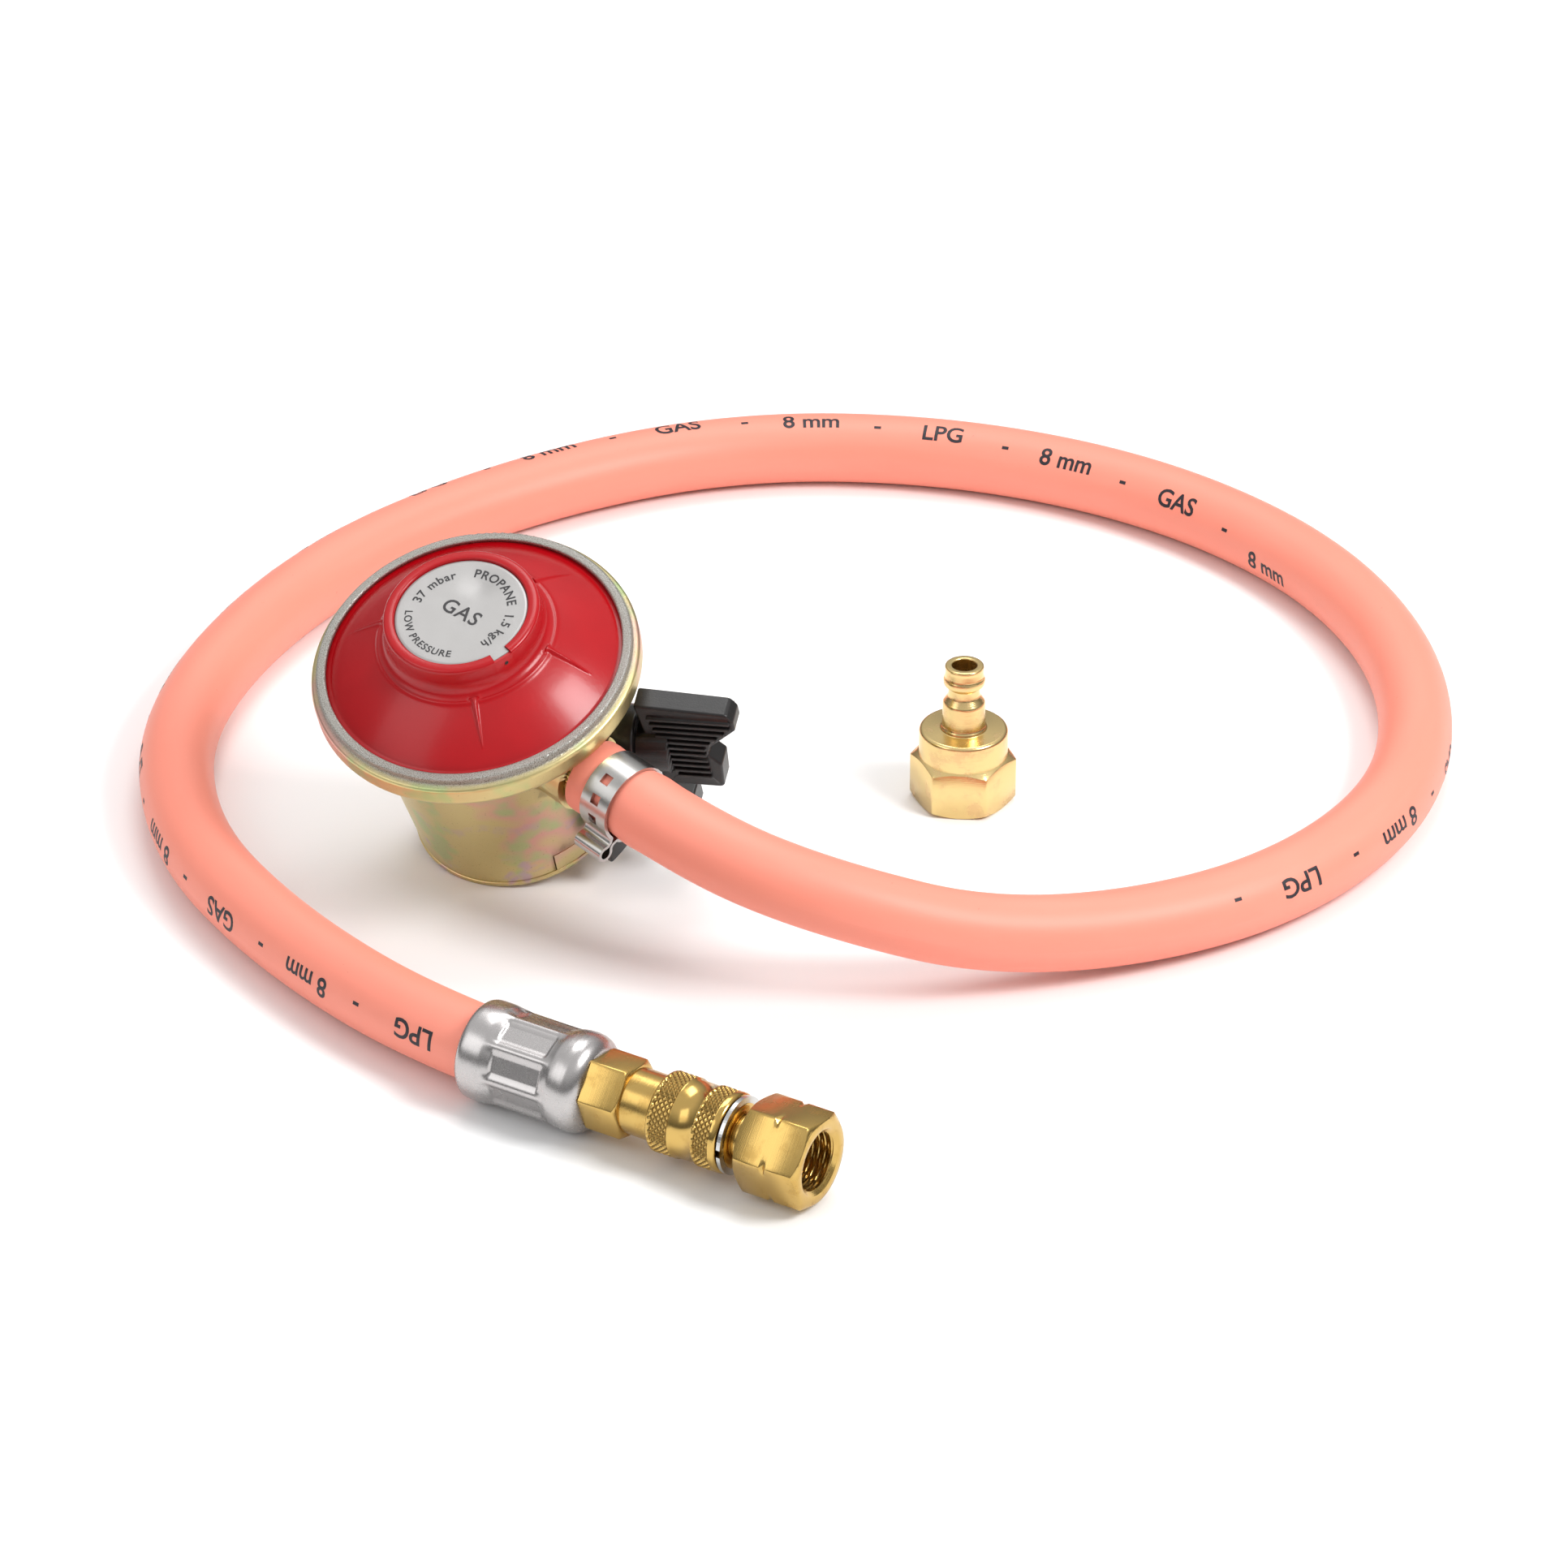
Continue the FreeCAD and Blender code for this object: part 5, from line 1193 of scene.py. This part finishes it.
def clamp_line():
    """Angle stops round the band, then a teardrop: its neck, a round end, and the way back."""
    stops = set(np.arange(LOOP_DEG + LOOP_HALF_DEG, LOOP_DEG - LOOP_HALF_DEG + 360, 5.0))
    for window in WINDOWS_DEG:
        stops |= {window % 360 + side for side in (-WINDOW_HALF_DEG, WINDOW_HALF_DEG)}
    stops |= {LOOP_DEG - LOOP_HALF_DEG + 360}
    stops = np.array(sorted(stops))
    band = CLAMP_MIDDLE_R * np.column_stack([np.cos(np.radians(stops)), np.sin(np.radians(stops))])
    bend = np.radians(np.linspace(-145, 145, 25))
    tear = np.column_stack([11.3 + 1.45 * np.cos(bend), 1.45 * np.sin(bend)])
    tear = np.concatenate([[(8.9, -0.45), (9.6, -0.5)], tear, [(9.6, 0.5), (8.9, 0.45)]])
    out = np.array([math.cos(math.radians(LOOP_DEG)), math.sin(math.radians(LOOP_DEG))])
    side = np.array([-out[1], out[0]])
    loop = tear[:, :1] * out + tear[:, 1:] * side
    return np.concatenate([band, loop]), stops


def hose_clamp():
    """The strip's cells on both faces, with a wall wherever a cell has no neighbour."""
    line, stops = clamp_line()
    ahead = np.roll(line, -1, axis=0) - np.roll(line, 1, axis=0)
    normal = np.column_stack([ahead[:, 1], -ahead[:, 0]]) / np.linalg.norm(ahead, axis=1)[:, None]
    count, rows = len(line), len(STRIP_Z)
    points = np.zeros((2, count, rows, 3))
    for face, shift in enumerate((CLAMP_THICK / 2, -CLAMP_THICK / 2)):
        points[face, :, :, :2] = (line + normal * shift)[:, None]
        points[face, :, :, 2] = STRIP_Z
    solid = np.ones((count, rows - 1), bool)
    middles = (stops[:-1] + stops[1:]) / 2
    for window in WINDOWS_DEG:
        inside = np.abs(middles - window % 360) < WINDOW_HALF_DEG
        solid[: len(middles)][inside, WINDOW_COLUMN] = False

    def corner(face, column, row):
        return (face * count + column % count) * rows + row

    faces = []
    for column, row in zip(*np.nonzero(solid)):
        for face in (0, 1):
            faces.append([corner(face, column, row), corner(face, column + 1, row),
                          corner(face, column + 1, row + 1), corner(face, column, row + 1)])
        for step, (first, second) in {(0, -1): ((0, 0), (1, 0)), (0, 1): ((0, 1), (1, 1)),
                                      (-1, 0): ((0, 0), (0, 1)), (1, 0): ((1, 0), (1, 1))}.items():
            near_column, near_row = (column + step[0]) % count, row + step[1]
            if 0 <= near_row < rows - 1 and solid[near_column, near_row]:
                continue
            faces.append([corner(0, column + first[0], row + first[1]),
                          corner(0, column + second[0], row + second[1]),
                          corner(1, column + second[0], row + second[1]),
                          corner(1, column + first[0], row + first[1])])
    return new_piece("hose_clamp_skin", NOZZLE.out(points), np.array(faces), FINISHES["regulator_steel"],
                     "root")


clamp = hose_clamp()
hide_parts("hose_clamp")
print("clamp faces:", len(clamp.data.polygons))

# %% [markdown]
# ## CAD pieces with smooth shading
#
# The frame's own meshes are loose triangles. A visible piece is copied, its triangles are merged,
# and it is shaded smooth up to an angle. Pieces that stay out of sight keep their CAD mesh.

# %% Merge and shade
def smooth_copy(node, finish, body, sharp_deg=28):
    """A merged, smoothly shaded copy that stands for a CAD piece."""
    mesh = frame["nodes"][node].data.copy()
    work = bmesh.new()
    work.from_mesh(mesh)
    bmesh.ops.remove_doubles(work, verts=work.verts, dist=2e-6)
    work.to_mesh(mesh)
    work.free()
    mesh.materials.clear()
    mesh.materials.append(finish)
    finish_mesh(mesh, sharp_deg)
    piece = bpy.data.objects.new(node + "_skin", mesh)
    bpy.context.scene.collection.objects.link(piece)
    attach(piece, body)
    even = piece.modifiers.new("even_normals", "WEIGHTED_NORMAL")
    even.keep_sharp = True
    even.weight = 80
    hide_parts(node)
    return piece


def dress(node, finish):
    """Give a CAD piece a finish in every slot."""
    materials = frame["nodes"][node].data.materials
    if not materials:
        materials.append(finish)
    for index in range(len(materials)):
        materials[index] = finish


SHOWN = {
    "body_casting": ("zinc", "root", "zinc_passivated"),
    "bottom_ring": ("zinc", "root", "plated_ring"),
    "switch_housing": ("nylon", "root", "black_plastic"),
    "switch_lever": ("nylon", "switch", "black_plastic"),
    "jaw_button": ("nylon", "jaw", "black_plastic"),
    "locking_jaw": ("regulator_steel", "jaw", "steel"),
    "hose_nozzle": ("regulator_brass", "root", "brass"),
    "snap_ring": ("coupler_steel", "root", "steel"),
}
shown_pieces = {node: smooth_copy(node, FINISHES[finish], body)
                for node, (finish, body, slot) in SHOWN.items()}

HIDDEN = {
    "regulator_steel": ["main_spring", "plunger_spring", "stem_nut", "lever_pin", "inner_lever",
                        "inlet_plunger", "switch_spindle", "diaphragm_plate"],
    "coupler_steel": ["sleeve_spring", "poppet_spring", "lock_ball_1", "lock_ball_2", "lock_ball_3",
                      "lock_ball_4"],
    "regulator_brass": ["adjusting_screw", "diaphragm_stem", "seat_nozzle", "inlet_stem"],
    "coupler_brass": ["coupler_poppet"],
    "rubber": ["diaphragm", "valve_pad", "inlet_seal", "spindle_seal", "plug_seal"],
}
for finish_name, nodes in HIDDEN.items():
    for node in nodes:
        dress(node, FINISHES[finish_name])
print("smooth copies:", len(shown_pieces))

# %% The pieces that go with the hose's end, in lists
INSIDE_COUPLER = ["coupler_poppet", "poppet_spring", "plug_seal", "sleeve_spring",
                  "lock_ball_1", "lock_ball_2", "lock_ball_3", "lock_ball_4"]
on_the_hose = [printed, crimp, coupler, sleeve, shown_pieces["snap_ring"], plug]
on_the_hose += [frame["nodes"][node] for node in INSIDE_COUPLER]
